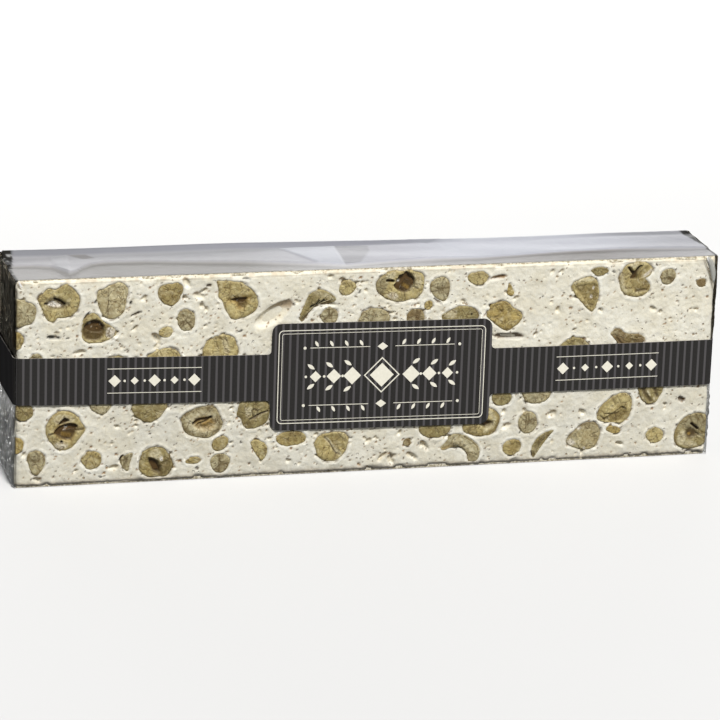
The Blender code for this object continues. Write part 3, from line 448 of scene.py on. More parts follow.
        Mark("white", ((57.4, 6.0), (58.8, 6.2), (59.8, 5.0), (58.4, 4.4)), 0, 0, 0.3, 0.75),
        Mark("shade", ((57.6, 4.6), (60.0, 3.5), (62.6, 3.0)), 0.4, 0.1, 0.2, 0.7),
        Mark("white", ((62.6, 3.7), (62.5, 3.3)), 0.5, 0, 0.15),
        Mark("white", ((60.6, 9.2), (61.2, 9.6)), 0.6, 0, 0.2, 0.6),
    )),
    33: Look("olive", (
        (89.1, 5.4), (89.7, 8.2), (91.0, 10.2), (93.4, 11.9), (95.8, 12.5), (97.8, 12.0), (98.8, 10.8),
        (98.8, 3.8), (97.2, 2.0), (94.8, 1.4), (92.0, 1.6), (89.9, 3.0),
    ), (
        Mark("grey", ((90.4, 8.6), (93.6, 11.4), (97.6, 11.4), (98.4, 8.0), (95.6, 7.0), (92.6, 7.6)),
             0, 0.1, 0.5, 0.7),
        Mark("pale", ((90.6, 6.4), (92.4, 7.4), (93.0, 5.0), (91.6, 3.0), (90.2, 4.2)), 0, 0, 0.4, 0.6),
        Mark("pale", ((92.0, 3.0), (94.0, 4.4), (96.2, 2.8), (94.4, 2.2)), 0, 0, 0.5, 0.55),
        Mark("umber", ((92.6, 6.2), (93.4, 7.6), (95.2, 7.6), (96.2, 6.2), (95.0, 5.0), (93.4, 5.0)),
             0, 0.6, 0.8, 0.95),
        Mark("amber", ((93.8, 6.1), (93.9, 6.0)), 0.8, 0, 0.2, 0.9),
        Mark("dark", ((94.3, 9.1), (95.4, 8.3), (96.2, 7.5)), 0.6, 1.2, 0.15),
        Mark("umber", ((96.2, 7.4), (98.6, 6.0)), 0.3, 0.2, 0.15, 0.8),
        Mark("umber", ((96.0, 6.2), (98.6, 4.6)), 0.3, 0.2, 0.15, 0.8),
        Mark("shade", ((93.6, 11.2), (94.6, 9.6)), 0.4, 0.1, 0.2, 0.7),
        Mark("shade", ((95.4, 12.0), (96.4, 10.2)), 0.4, 0.1, 0.2, 0.7),
        Mark("shade", ((97.0, 11.6), (98.0, 9.8)), 0.4, 0.1, 0.2, 0.7),
    )),
}
OTHER_TONES = ("tan", "ochre", "grey", "olive", "pale", "yellow")

# The smaller pieces of hazelnut in the front face
FRONT_CHIPS = (
    Shape("yellow", -98.4, 41.4, 3.4, 5.0),
    Shape("ochre", -56.9, 52.6, 7.4, 6.6, 12, 0.3),
    Shape("grey", -52.5, 45.4, 5.0, 6.7, 10),
    Shape("tan", -58.0, 42.3, 4.4, 3.1),
    Shape("grey", -12.5, 45.0, 5.1, 4.8, 0),
    Shape("tan", -7.8, 52.7, 5.1, 4.3),
    Shape("grey", 18.8, 51.4, 5.9, 7.2, 20, 0.2),
    Shape("yellow", 15.5, 46.8, 2.3, 2.8, -20),
    Shape("tan", 29.4, 54.2, 6.3, 4.0),
    Shape("yellow", 38.8, 50.4, 2.0, 3.4, 10, -0.4),
    Shape("brown", 12.0, 43.4, 5.7, 5.4),
    Shape("olive", 64.5, 54.6, 4.7, 3.0, 0, 0.4),
    Shape("grey", 84.6, 52.6, 4.9, 4.8),
    Shape("brown", 94.6, 50.3, 2.8, 2.8),
    Shape("grey", -93.4, 35.6, 4.3, 3.8),
    Shape("olive", -96.7, 21.6, 5.4, 5.8),
    Shape("yellow", -98.3, 11.9, 3.6, 4.8),
    Shape("grey", -93.1, 6.9, 5.2, 7.2, 0, 0.3),
    Shape("ochre", -77.8, 6.9, 6.0, 5.2, -10),
    Shape("grey", -68.0, 6.1, 5.4, 2.8, 75, 0, -0.9),
    Shape("ochre", -49.8, 5.4, 4.4, 1.9, 5),
    Shape("ochre", -42.2, 10.0, 5.6, 4.0, 40),
    Shape("grey", -42.1, 4.4, 5.6, 5.8),
    Shape("tan", -31.4, 7.6, 7.0, 3.6, -60, 0, -0.6),
    Shape("ochre", -22.3, 10.4, 8.4, 4.7),
    Shape("brown", 10.8, 7.6, 2.8, 2.5),
    Shape("olive", 37.6, 19.4, 6.0, 5.2),
    Shape("ochre", 41.3, 4.6, 6.2, 4.8, 15),
    Shape("grey", 45.6, 11.6, 5.6, 6.8, -8),
    Shape("yellow", 71.0, 8.4, 4.6, 2.4, -15),
    Shape("tan", 83.4, 6.1, 5.5, 4.9),
)

# Open voids of the front face, with their floor's colour, which is painted shade unless it is white, and
# how uneven their outline is
FRONT_VOIDS = (
    Hollow(-28.2, 46.0, 12.4, 5.0, 30, 1.6, "white", 0.06),
    Hollow(-88.7, 41.9, 3.6, 1.3, -8, 1.2, "dark"),
    Hollow(-80.0, 47.3, 3.8, 0.6, 60, 0.8, "dark"),
    Hollow(-77.4, 51.3, 1.6, 0.6, 85, 0.8, "dark"),
    Hollow(-67.8, 50.6, 1.8, 0.8, 80, 0.8, "dark"),
    Hollow(-66.4, 47.6, 4.4, 0.7, 24, 0.7, "brown"),
    Hollow(-46.4, 54.8, 1.8, 0.8, 0, 0.7, "brown"),
    Hollow(-36.0, 56.3, 2.6, 0.5, -12, 0.6, "dark"),
    Hollow(68.8, 54.4, 1.5, 0.5, -40, 0.5, "dark"),
    Hollow(-37.6, 41.6, 2.2, 0.5, 35, 0.5, "dark"),
    Hollow(18.0, 48.0, 4.0, 0.6, -38, 0.6, "brown"),
    Hollow(-5.2, 9.7, 0.8, 0.7, 0, 0.7, "dark"),
    Hollow(-66.6, 43.6, 2.8, 1.0, 40, 0.8, "white"),
    Hollow(35.2, 54.1, 5.0, 1.3, 6, 0.9, "amber"),
    Hollow(39.3, 37.1, 8.0, 2.2, -4, 1.5, "brown", 0.15),
    Hollow(15.9, 6.4, 3.8, 1.6, -48, 1.0, "white", 0.08),
    Hollow(12.3, 3.7, 4.0, 1.4, -25, 0.9, "white"),
    Hollow(-0.4, 8.6, 2.6, 1.2, 40, 0.8, "white"),
    Hollow(4.1, 4.2, 3.2, 1.2, 35, 0.8, "white"),
    Hollow(39.4, 11.0, 3.0, 1.8, 15, 0.8, "white"),
    Hollow(52.7, 13.9, 2.9, 2.2, 20, 1.0, "white"),
    Hollow(90.8, 16.4, 2.3, 1.8, -30, 0.9, "brown"),
)

# Bubbles and specks strewn over the cut faces: how many to a square centimetre of the face,
# half their length, their width to length, and their depth in millimetres
# Their fills other than white are painted shade in the hollows.
STREWN = (
    Strewn(20.0, (0.16, 0.34), (0.7, 1.0), (0.2, 0.35), ("white", "amber", "amber", "brown")),
    Strewn(4.0, (0.3, 0.6), (0.6, 0.95), (0.3, 0.6), ("white", "white", "white", "amber")),
    Strewn(1.5, (0.6, 1.1), (0.5, 0.85), (0.6, 1.0), ("white", "white", "white", "white")),
    Strewn(0.45, (1.1, 2.0), (0.35, 0.55), (0.9, 1.3), ("white", "white", "white", "white")),
    Strewn(0.3, (0.3, 0.8), (0.3, 0.5), (0.5, 0.8), ("dark", "brown")),
)

# The right half of the bar has fewer bubbles: the share left out, and between which x it sets in
SPARSE_SHARE = 0.45
SPARSE_FROM = (-10.0, 40.0)

# How far the small pieces of nut stand out of the cut faces in the CAD model
CHIP_PROUD = 0.14

# The waves in the CAD model's chip outlines, each with its number round and its size
OUTLINE_WAVES = ((2, 0.028), (3, 0.02), (5, 0.012))
OUTLINE_SEED_TURN = 1.7

# How strongly clear film bends light, which sets how its gloss grows at a slant
FILM_INDEX = 1.5

# The pinstripes of the paper band, and how far its print is sunk and stands out
STRIPE_PITCH = 2.04
STRIPE_SHARE = 0.3
PRINT_SUNK = -0.01
PRINT_THICKNESS = 0.05

# The ornament: frames of the plate with their inset, corner and width, the rules, how far leaves
# lean from upright, and the rows on the strip from x to x
PLATE_FRAMES = ((2.0, 1.2, 0.22), (2.9, 0.6, 0.12))
RULE_RISE = 8.2
RULE_WIDTH = 0.16
STRIP_RULE_RISE = 3.4
SPRIG_LEAN = 55
LEAF_LEAN = 30
STRIP_ORNAMENTS = ((-72.0, -50.0), (55.0, 81.0))
STRIP_LOZENGES = 5

# The film's gap from the bar, the rounding of its corners, its end, its cells, how far the top's
# film hangs over the back, how far under the top it starts to follow the folds, its height under
# the bar and its cells on the sides
FILM_GAP = 0.22
FILM_CORNER = 0.6
FILM_END = 99.1
FILM_STATIONS = 397
FILM_CELL = 0.5
FILM_WRAP = 3.0
FILM_RISE_FROM = 6.0
FILM_FOOT = -0.05
FILM_SIDE_CELL = 1.3

# The film on top: x and y of its fold's edge, and how far it stands up along the back
FOLD_LINE = (
    (-98.8, 1.0), (-92.0, 0.8), (-87.6, -1.0), (-85.5, -4.3), (-83.6, -8.4), (-81.5, -6.6),
    (-79.0, -3.0), (-76.0, 0.2), (-72.0, 1.5), (-62.0, 1.3), (-51.9, -0.6), (-35.6, -3.1),
    (-19.7, -6.8), (-7.9, -10.0), (0.0, -8.8), (8.4, -7.4), (20.0, -6.8), (31.4, -7.2), (43.4, -5.6),
    (55.6, -4.0), (73.5, -3.1), (98.8, -5.2),
)
BACK_RISE = ((-98.8, 1.3), (-30.0, 1.3), (10.0, 0.7), (38.0, 0.3), (98.8, 0.6))

# Greys of the film on top by x, painted reflection and painted shade over the pale wafer: the strip before
# the fold's edge, the middle, and the back
STRIP_PAINTED_LIGHT = (
    Station(-90, srgb(157, 155, 153)), Station(-73, srgb(146, 144, 141)),
    Station(-35, srgb(151, 149, 146)), Station(-8, srgb(196, 195, 195)),
    Station(31, srgb(166, 164, 163)), Station(64, srgb(134, 131, 128)),
    Station(92, srgb(161, 160, 161)),
)
MIDDLE_PAINTED_LIGHT = (
    Station(-95, srgb(172, 171, 174)), Station(-50, srgb(168, 168, 171)),
    Station(-32, srgb(167, 167, 170)), Station(-14, srgb(181, 181, 187)),
    Station(8, srgb(178, 178, 185)), Station(26, srgb(185, 187, 196)), Station(46, srgb(184, 186, 195)),
    Station(68, srgb(184, 186, 194)), Station(90, srgb(160, 161, 167)),
)
BACK_PAINTED_LIGHT = (
    Station(-95, srgb(131, 132, 137)), Station(-30, srgb(141, 142, 149)),
    Station(16, srgb(142, 143, 151)), Station(32, srgb(187, 189, 197)),
    Station(62, srgb(183, 185, 193)), Station(80, srgb(146, 147, 152)),
)
# Flat facets of the film on top, from its corners' x and y, with their tone, which is painted light,
# brighter or darker by how each facet turns to the lamps, and how far they stand up
FACETS = (
    Facet(((-86.4, 8.4), (-81.2, 8.8), (-83.6, -8.4), (-86.2, -3.4)), srgb(169, 169, 172), 0.2),
    Facet(((-81.2, 9.0), (-76.0, 8.7), (-73.9, 5.2), (-77.6, 4.6)), srgb(140, 138, 137), 0.05),
    Facet(((-22.0, 8.2), (-6.3, 8.6), (-7.9, -9.8), (-15.0, -7.6)), srgb(187, 189, 196), 0.25),
    Facet(((-6.3, 8.6), (3.4, 8.0), (2.6, 3.0), (-3.0, -8.8), (-7.9, -9.8)), srgb(157, 157, 160), 0.1),
    Facet(((14.0, 12.6), (27.0, 12.6), (20.5, 8.0)), srgb(148, 150, 157), 0.05),
)
# The film's dark ends, and how far its tones are dimmed under the lamps
END_SHADE = srgb(34, 32, 28)
FILM_DIMMING = 0.64

# Creases of the film over the front face's corners, from x and z, with tints painted for light: a grey
# fold, a dark line of painted shadow beside it and white painted highlights; and the mesh of their ribs
CREASES = (
    Crease(((96.2, 58.0), (97.2, 55.9), (97.9, 53.2), (98.2, 50.6)), 1.7, srgb(158, 158, 152)),
    Crease(((94.8, 57.9), (95.6, 55.9), (96.8, 53.2), (97.6, 50.6), (98.2, 48.0)), 0.3, srgb(104, 92, 70)),
    Crease(((95.8, 58.0), (96.2, 57.0), (96.9, 55.4)), 0.6, srgb(232, 232, 230)),
    Crease(((-98.3, 58.0), (-97.9, 57.0), (-97.3, 56.2)), 0.6, srgb(216, 216, 218)),
)
CREASE_STEPS = 12
CREASE_SIDES = 7
CREASE_BULGE = 0.22

# The sheets of folded film over the ends: cells across and up, thickness, and the least distance
# from the sawn end. Its tints are painted shade: dark above the band, clear below with painted shade along
# the wrinkles, and change between heights.
FOLDED_COLUMNS = 61
FOLDED_ROWS = 131
FOLDED_THICKNESS = 0.08
FOLDED_NEAREST = 0.2
FOLDED_CHANGE = (28.0, 36.0)
FOLDED_MARGIN = 0.1
FOLDED_SEED = 50
UPPER_SHADE_TINTS = ((0.31, 0.29, 0.24), (0.46, 0.42, 0.34))
LOWER_TINTS = ((0.98, 0.98, 0.97), (0.8, 0.8, 0.79))

# Lamps, in millimetres and watts, and the sun, with its strength and its width in degrees
LAMPS = (
    Lamp("right_fill", (700, -500, 200), (0, 0, 28), (600, 400), 2.2),
    Lamp("back_fill", (100, 900, 150), (0, 0, 28), (900, 300), 3.5),
    Lamp("left_back_fill", (-560, 640, 28), (-98, 0, 28), (400, 50), 1.1),
)
SUN_PLACE = (20, -460, 600)
SUN_STRENGTH = 6.0
SUN_WIDTH = 12.0
SUN_COLOUR = (1.0, 0.99, 0.97)
SKY = (0.92, 0.95, 1.0)
SKY_STRENGTH = 0.2
FLOOR_HALF = 4000.0
FLOOR_DROP = 0.1


def smooth_step(value, start, end):
    """A soft rise from 0 to 1 between two values."""
    share = np.clip((value - start) / (end - start), 0.0, 1.0)
    return share * share * (3 - 2 * share)


def blend(first, second, share):
    """Colours between two, by a share for each point."""
    share = np.asarray(share)[..., None]
    return first * (1 - share) + np.asarray(second) * share


def tints(pair, share):
    """Colours between the two of a pair, by a share for each point."""
    first, second = np.array(pair)
    return blend(np.broadcast_to(first, (*share.shape, 3)), second, share)


def noise_field(points, size, seed):
    """Smooth noise between about -1 and 1 at points in millimetres, with lumps of that size."""
    shift = np.array((13.7, 5.1, 9.3)) * seed
    flat = np.asarray(points).reshape(-1, 3) / size + shift
    values = np.array([noise.noise(point) for point in flat.tolist()])
    return values.reshape(np.asarray(points).shape[:-1])


def lumps(points, layers, seed=0):
    """Noise in layers over one another."""
    return sum(amount * noise_field(points, size, seed + step) for size, amount, step in layers)


def make_piece(name, points, faces, material, colours=None, smooth=True):
    """A mesh object from points in millimetres, with a colour at each point."""
    mesh = bpy.data.meshes.new(name)
    mesh.from_pydata((np.asarray(points, float) * MM).tolist(), [], faces)
    mesh.update()
    if colours is not None:
        layer = mesh.color_attributes.new("tint", "FLOAT_COLOR", "POINT")
        values = np.ones((len(points), 4), np.float32)
        values[:, :3] = np.clip(colours, 0.0, 1.0)
        layer.data.foreach_set("color", values.ravel())
    if smooth:
        mesh.shade_smooth()
    mesh.materials.append(material)
    thing = bpy.data.objects.new(name, mesh)
    bpy.context.scene.collection.objects.link(thing)
    return thing


def ride(piece, slot, *nodes):
    """The piece belongs to the bar and stands for these CAD nodes, which it hides. The slot is not used.
    """
    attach(piece, "root")
    if nodes:
        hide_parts(*nodes)


class Shader:
    """Builds a procedural material. Sizes of patterns are in millimetres on the object."""

    def __init__(self, name):
        self.material = bpy.data.materials.new(name)
        self.material.use_nodes = True
        self.nodes = self.material.node_tree.nodes
        self.links = self.material.node_tree.links
        self.base = self.nodes["Principled BSDF"]
        self.output = self.nodes["Material Output"]
        self.place = self.nodes.new("ShaderNodeTexCoord").outputs["Object"]

    def put(self, value, socket):
        """Links a node's output to a socket, or sets the socket to a plain number or colour."""
        if isinstance(value, bpy.types.NodeSocket):
            self.links.new(value, socket)
        elif isinstance(value, (tuple, list)) and len(value) == 3 and socket.type == "RGBA":
            socket.default_value = (*value, 1.0)
        else:
            socket.default_value = value

    def set(self, **inputs):
        for name, value in inputs.items():
            self.put(value, self.base.inputs[name.replace("_", " ")])

    def add(self, kind, **inputs):
        """A new node with these inputs. An underscore stands for a space in an input's name."""
        node = self.nodes.new("ShaderNode" + kind)
        for name, value in inputs.items():
            self.put(value, node.inputs[name.replace("_", " ")])
        return node

    def noise(self, size, detail=2.0, roughness=0.5, distortion=0.0):
        node = self.add("TexNoise", Vector=self.place, Scale=1 / (size * MM), Detail=detail,
                        Roughness=roughness, Distortion=distortion)
        return node.outputs["Fac"]

    def dots(self, size):
        """Distance from the nearest of many scattered points, and a random number for each."""
        node = self.add("TexVoronoi", Vector=self.place, Scale=1 / (size * MM))
        return node.outputs["Distance"], self.parts(node.outputs["Color"])[0]

    def veins(self, size, width):
        """Thin wandering lines, where a smooth noise crosses its middle."""
        middle = self.size_of(self.math("SUBTRACT", self.noise(size, 3.0, 0.5, 0.4), 0.5))
        return self.spread(middle, width, 0.3 * width)

    def math(self, operation, first, second=0.0, clamp=False):
        node = self.nodes.new("ShaderNodeMath")
        node.operation = operation
        node.use_clamp = clamp
        self.put(first, node.inputs[0])
        self.put(second, node.inputs[1])
        return node.outputs[0]

    def times(self, first, second, clamp=False):
        return self.math("MULTIPLY", first, second, clamp)

    def size_of(self, value):
        return self.math("ABSOLUTE", value)

    def spread(self, value, start, end, low=0.0, high=1.0):
        """Maps a range onto another with a smooth step."""
        node = self.nodes.new("ShaderNodeMapRange")
        node.interpolation_type = "SMOOTHSTEP"
        for name, number in zip(("Value", "From Min", "From Max", "To Min", "To Max"),
                                (value, start, end, low, high)):
            self.put(number, node.inputs[name])
        return node.outputs["Result"]

    def mix(self, share, first, second, how="MIX"):
        node = self.nodes.new("ShaderNodeMix")
        node.data_type = "RGBA"
        node.blend_type = how
        colours = [socket for socket in node.inputs if socket.type == "RGBA"]
        self.put(share, node.inputs["Factor"])
        self.put(first, colours[0])
        self.put(second, colours[1])
        return [socket for socket in node.outputs if socket.type == "RGBA"][0]

    def tint(self):
        node = self.nodes.new("ShaderNodeAttribute")
        node.attribute_name = "tint"
        return node.outputs["Color"]

    def parts(self, vector):
        node = self.nodes.new("ShaderNodeSeparateXYZ")
        self.put(vector, node.inputs[0])
        return node.outputs

    def bump(self, height, depth, strength=1.0, under=None):
        """A normal bent by a height from 0 to 1 that stands for that depth in millimetres."""
        node = self.add("Bump", Strength=strength, Distance=depth * MM, Height=height)
        if under is not None:
            self.put(under, node.inputs["Normal"])
        return node.outputs["Normal"]

    def facing(self):
        """The three parts of the way that the surface looks."""
        return self.parts(self.add("NewGeometry").outputs["Normal"])

    def mix_surfaces(self, share, first, second):
        node = self.nodes.new("ShaderNodeMixShader")
        for value, socket in zip((share, first, second), node.inputs):
            self.put(value, socket)
        return node.outputs[0]

    def gloss_over(self, under, normal, weight, **gloss):
        """Ends the material with gloss over a surface, stronger where it is seen at a slant."""
        shine = self.add("BsdfGlossy", Normal=normal, **gloss).outputs[0]
        slant = self.add("Fresnel", IOR=FILM_INDEX, Normal=normal).outputs[0]
        surface = self.mix_surfaces(self.times(slant, weight, clamp=True), under, shine)
        self.put(surface, self.output.inputs["Surface"])
        self.nodes.remove(self.base)
        return self.material


def nougat_material():
    shader = Shader("nougat")
    mottle = shader.spread(shader.noise(7.0, 3.0, 0.55), 0.32, 0.68)
    tint = shader.tint()
    colour = shader.mix(shader.times(mottle, 0.3), tint, srgb(220, 210, 184), "MULTIPLY")
    grain = shader.spread(shader.noise(0.8, 4.0, 0.65), 0.42, 0.68)
    colour = shader.mix(shader.times(grain, 0.24), colour, srgb(224, 212, 186), "MULTIPLY")
    distance, choice = shader.dots(1.6)
    size = shader.spread(choice, 0.35, 1.0, 0.02, 0.2)
    inside = shader.spread(shader.math("SUBTRACT", distance, size), 0.05, -0.05)
    # Some tiny pits are darkened brown: partly painted shade in the pits, partly brown specks of their own
    brown = shader.times(inside, shader.spread(shader.noise(4.0, 1.0), 0.4, 0.6))
    colour = shader.mix(shader.times(brown, 0.65), colour, srgb(140, 110, 66))
    shader.set(Base_Color=colour, Roughness=0.62, Specular_IOR_Level=0.25)
    normal = shader.bump(shader.noise(2.6, 3.0, 0.6), 0.28, 0.7)
    normal = shader.bump(shader.noise(0.6, 4.0, 0.7), 0.14, 0.9, normal)
    normal = shader.bump(shader.math("SUBTRACT", 1.0, inside), 0.3, 1.0, normal)
    shader.set(Normal=normal)
    return shader.material


def hazelnut_material():
    shader = Shader("hazelnut")
    streaks = shader.spread(shader.noise(1.4, 4.0, 0.65, 1.5), 0.34, 0.66)
    tint = shader.tint()
    lit = shader.spread(shader.parts(tint)[1], 0.06, 0.22)
    colour = shader.mix(shader.times(streaks, 0.6), tint, srgb(182, 162, 120), "MULTIPLY")
    pale = shader.spread(shader.noise(1.9, 3.0, 0.6, 0.8), 0.56, 0.66)
    pale = shader.times(shader.times(pale, lit), 0.35)
    colour = shader.mix(pale, colour, srgb(204, 194, 160))
    # The cracks are darkened: painted shade in them
    cracks = shader.times(shader.veins(3.2, 0.018), lit)
    colour = shader.mix(shader.times(cracks, 0.55), colour, srgb(92, 72, 40))
    shader.set(Base_Color=colour, Roughness=0.5, Specular_IOR_Level=0.3)
    normal = shader.bump(shader.noise(1.3, 4.0, 0.6, 1.0), 0.28, 0.8)
    normal = shader.bump(shader.math("SUBTRACT", 1.0, cracks), 0.15, 0.8, normal)
    normal = shader.bump(shader.noise(0.4, 3.0, 0.6), 0.12, 0.7, normal)
    shader.set(Normal=normal)
    return shader.material


def wafer_material():
    shader = Shader("wafer")
    clouds = shader.spread(shader.noise(16.0, 3.0, 0.6), 0.35, 0.65)
    colour = shader.mix(clouds, srgb(186, 185, 188), srgb(206, 205, 210))
    grain = shader.noise(0.7, 3.0, 0.6)
    upright = shader.spread(shader.size_of(shader.facing()[2]), 0.7, 0.5)
    crumbs = shader.mix(shader.spread(grain, 0.4, 0.6), srgb(150, 140, 116), srgb(206, 200, 182))
    colour = shader.mix(upright, colour, crumbs)
    shader.set(Base_Color=colour, Roughness=0.62, Specular_IOR_Level=0.2)
    shader.set(Normal=shader.bump(grain, 0.08, 0.5))
    return shader.material


def film_material():
    """Clear film: what lies behind shows through, and its gloss comes from the wrinkles."""
    shader = Shader("film")
    clear = shader.add("BsdfTransparent").outputs[0]
    normal = shader.bump(shader.noise(9.0, 3.0, 0.55, 0.8), 0.6, 0.5)
    normal = shader.bump(shader.noise(2.2, 2.0, 0.5, 0.6), 0.08, 0.5, normal)
    return shader.gloss_over(clear, normal, 0.35, Roughness=0.26)


def top_film_material():
    """Film lying in soft folds over the pale wafer, which makes it milky."""
    shader = Shader("top_film")
    clouds = shader.spread(shader.noise(3.0, 3.0, 0.6, 0.5), 0.3, 0.7)
    # The tint carries the painted reflection and painted shade of the film on top
    colour = shader.mix(shader.times(clouds, 0.12), shader.tint(), srgb(222, 222, 226), "MULTIPLY")
    shader.set(Base_Color=colour, Roughness=0.42, Specular_IOR_Level=0.25)
    normal = shader.bump(shader.noise(5.0, 3.0, 0.5, 0.6), 0.25, 0.5)
    shader.set(Normal=shader.bump(shader.noise(0.9, 3.0, 0.6), 0.03, 0.5, normal))
    return shader.material


def folded_film_material():
    """Several layers of crumpled clear film, whose tint is painted shade that dims the sawn end behind
    them.
    """
    shader = Shader("folded_film")
    tint = shader.tint()
    normal = shader.bump(shader.noise(2.4, 4.0, 0.6, 1.2), 0.5, 0.8)
    clear = shader.add("BsdfTransparent", Color=tint).outputs[0]
    haze_colour = shader.mix(1.0, tint, srgb(164, 164, 162), "MULTIPLY")
    haze = shader.add("BsdfDiffuse", Color=haze_colour, Normal=normal).outputs[0]
    folds = shader.spread(shader.noise(3.2, 4.0, 0.65, 1.6), 0.5, 0.68)
    milky = shader.mix_surfaces(shader.times(folds, 0.2), clear, haze)
    return shader.gloss_over(milky, normal, 0.7, Color=tint, Roughness=0.22)


def crease_material():
    """The few stiff creases of the film at its corners, with painted highlights and a painted shadow line
    in their tint.
    """
    shader = Shader("film_crease")
    shader.set(Base_Color=shader.tint(), Roughness=0.3, Specular_IOR_Level=0.3, Alpha=0.6)
    return shader.material


def band_material():
    """Charcoal paper with paler pinstripes across it, and the bare paper at its cut edges."""
    shader = Shader("band_paper")
    x, y, _ = shader.parts(shader.place)
    normal_x, _, normal_z = shader.facing()
    on_end = shader.spread(shader.size_of(normal_x), 0.65, 0.75)
    on_side = shader.math("SUBTRACT", 1.0, on_end)
    along = shader.math("ADD", shader.times(x, on_side), shader.times(y, on_end))
    pitches = shader.math("DIVIDE", along, STRIPE_PITCH * MM)
    phase = shader.math("FRACT", shader.math("ADD", pitches, 100.0))
    off_centre = shader.size_of(shader.math("SUBTRACT", phase, 0.5))
    stripe = shader.spread(off_centre, STRIPE_SHARE / 2 + 0.05, STRIPE_SHARE / 2 - 0.05)
    fibre = shader.noise(0.5, 3.0, 0.6)
    ground = shader.mix(fibre, srgb(34, 33, 32), srgb(46, 45, 44))
    colour = shader.mix(shader.times(stripe, 0.9), ground, srgb(74, 72, 73))
    edge = shader.spread(shader.size_of(normal_z), 0.6, 0.8)
    colour = shader.mix(edge, colour, srgb(120, 116, 112))
    shader.set(Base_Color=colour, Roughness=0.7, Specular_IOR_Level=0.0)
    shader.set(Normal=shader.bump(fibre, 0.03, 0.5))
    return shader.material


def print_material():
    shader = Shader("band_print")
    colour = shader.mix(shader.noise(0.6, 2.0), srgb(192, 188, 174), srgb(210, 206, 192))
    shader.set(Base_Color=colour, Roughness=0.55, Specular_IOR_Level=0.2)
    return shader.material


def floor_material():
    shader = Shader("floor")
    cloud = shader.mix(shader.noise(180.0, 2.0), srgb(187, 187, 187), srgb(190, 190, 190))
    shader.set(Base_Color=cloud, Roughness=0.8)
    return shader.material


def to_space(face, across, up, out):
    """Points in millimetres from places on a cut face."""
    axis, side = FACES[face]
    across, up, out = np.broadcast_arrays(across, up, out)
    outward = side * (HALF_SIZES[axis] + out)
    columns = (across, outward, up) if axis else (outward, across, up)
    return np.stack(columns, -1)


def flat_part(node, face, level):
    """Across and up of the corners of each triangle of a CAD node that lies that far out of a
    cut face."""
    axis, side = FACES[face]
    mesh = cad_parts[node].data
    mesh.calc_loop_triangles()
    places = np.array([vertex.co for vertex in mesh.vertices]) / MM
    across = places[:, 1 - axis]
    out = side * places[:, axis] - HALF_SIZES[axis]
    flat = []
    for triangle in mesh.loop_triangles:
        corners = list(triangle.vertices)
        if np.all(np.abs(out[corners] - level) < 0.01):
            flat.append([(round(across[c], 3), round(places[c, 2], 3)) for c in corners])
    return flat


def flat_loops(node, face, level=0.0):
    """The edges of a node's flat parts that lie that far out of a cut face, as closed loops."""
    following = {}
    edges = set()
    for corners in flat_part(node, face, level):
        for index in range(3):
            edges.add((corners[index], corners[(index + 1) % 3]))
    for start, end in edges:
        if (end, start) not in edges:
            following[start] = end
    loops = []
    while following:
        start, here = following.popitem()
        loop = [start]
        while here != start and here in following:
            loop.append(here)
            here = following.pop(here)
        loops.append(np.array(loop))
    return loops


def cut_outline(node, face):
    """The outer edge of a node's flat part in a cut face."""
    return max(flat_loops(node, face), key=lambda loop: np.ptp(loop[:, 0]) * np.ptp(loop[:, 1]))


def turned(degrees, across, up):
    """A place turned anticlockwise round the origin."""
    turn = math.radians(degrees)
    cosine = math.cos(turn)
    sine = math.sin(turn)
    return across * cosine - up * sine, across * sine + up * cosine


def chip_outline(shape, seed, count):
    """The same uneven oval as the CAD chip's, with more points."""
    angle = np.linspace(0, 2 * math.pi, count, endpoint=False)
    bulge = np.ones(count)
    for wave, size in OUTLINE_WAVES:
        bulge += size * np.cos(wave * (angle + OUTLINE_SEED_TURN * seed))
    level = bulge * np.sin(angle)
    half_width = shape.width / 2
    half_height = shape.height / 2
    across = half_width * bulge * np.cos(angle) * (1 + shape.taper * level)
    up = half_height * (level + shape.bend * ((across / half_width) ** 2 - 0.5))
    across, up = turned(shape.turn, across, up)
    return np.stack((shape.x + across, shape.z + up), -1)


def smooth_loop(loop, count):
    """A closed curve through the loop's points, with that many points."""
    size = len(loop)
    place = np.arange(count) * size / count
    index = place.astype(int)
    share = (place - index)[:, None]
    before = loop[(index - 1) % size]
    here = loop[index % size]
    after = loop[(index + 1) % size]
    beyond = loop[(index + 2) % size]
    return 0.5 * (
        2 * here
        + (after - before) * share
        + (2 * before - 5 * here + 4 * after - beyond) * share**2
        + (3 * here - before - 3 * after + beyond) * share**3
    )


def signed_area(loop):
    """The area inside a closed outline, positive if it turns anticlockwise."""
    after = np.roll(loop, -1, 0)
    return 0.5 * np.sum(loop[:, 0] * after[:, 1] - after[:, 0] * loop[:, 1])


def even_loop(loop, count):
    """The loop with its points at even distances, turning anticlockwise."""
    around = np.vstack((loop, loop[:1]))
    steps = np.hypot(*np.diff(around, axis=0).T)
    lengths = np.concatenate(([0.0], np.cumsum(steps)))
    places = np.linspace(0, lengths[-1], count, endpoint=False)
    even = np.stack([np.interp(places, lengths, around[:, axis]) for axis in (0, 1)], -1)
    return even if signed_area(even) > 0 else even[::-1]


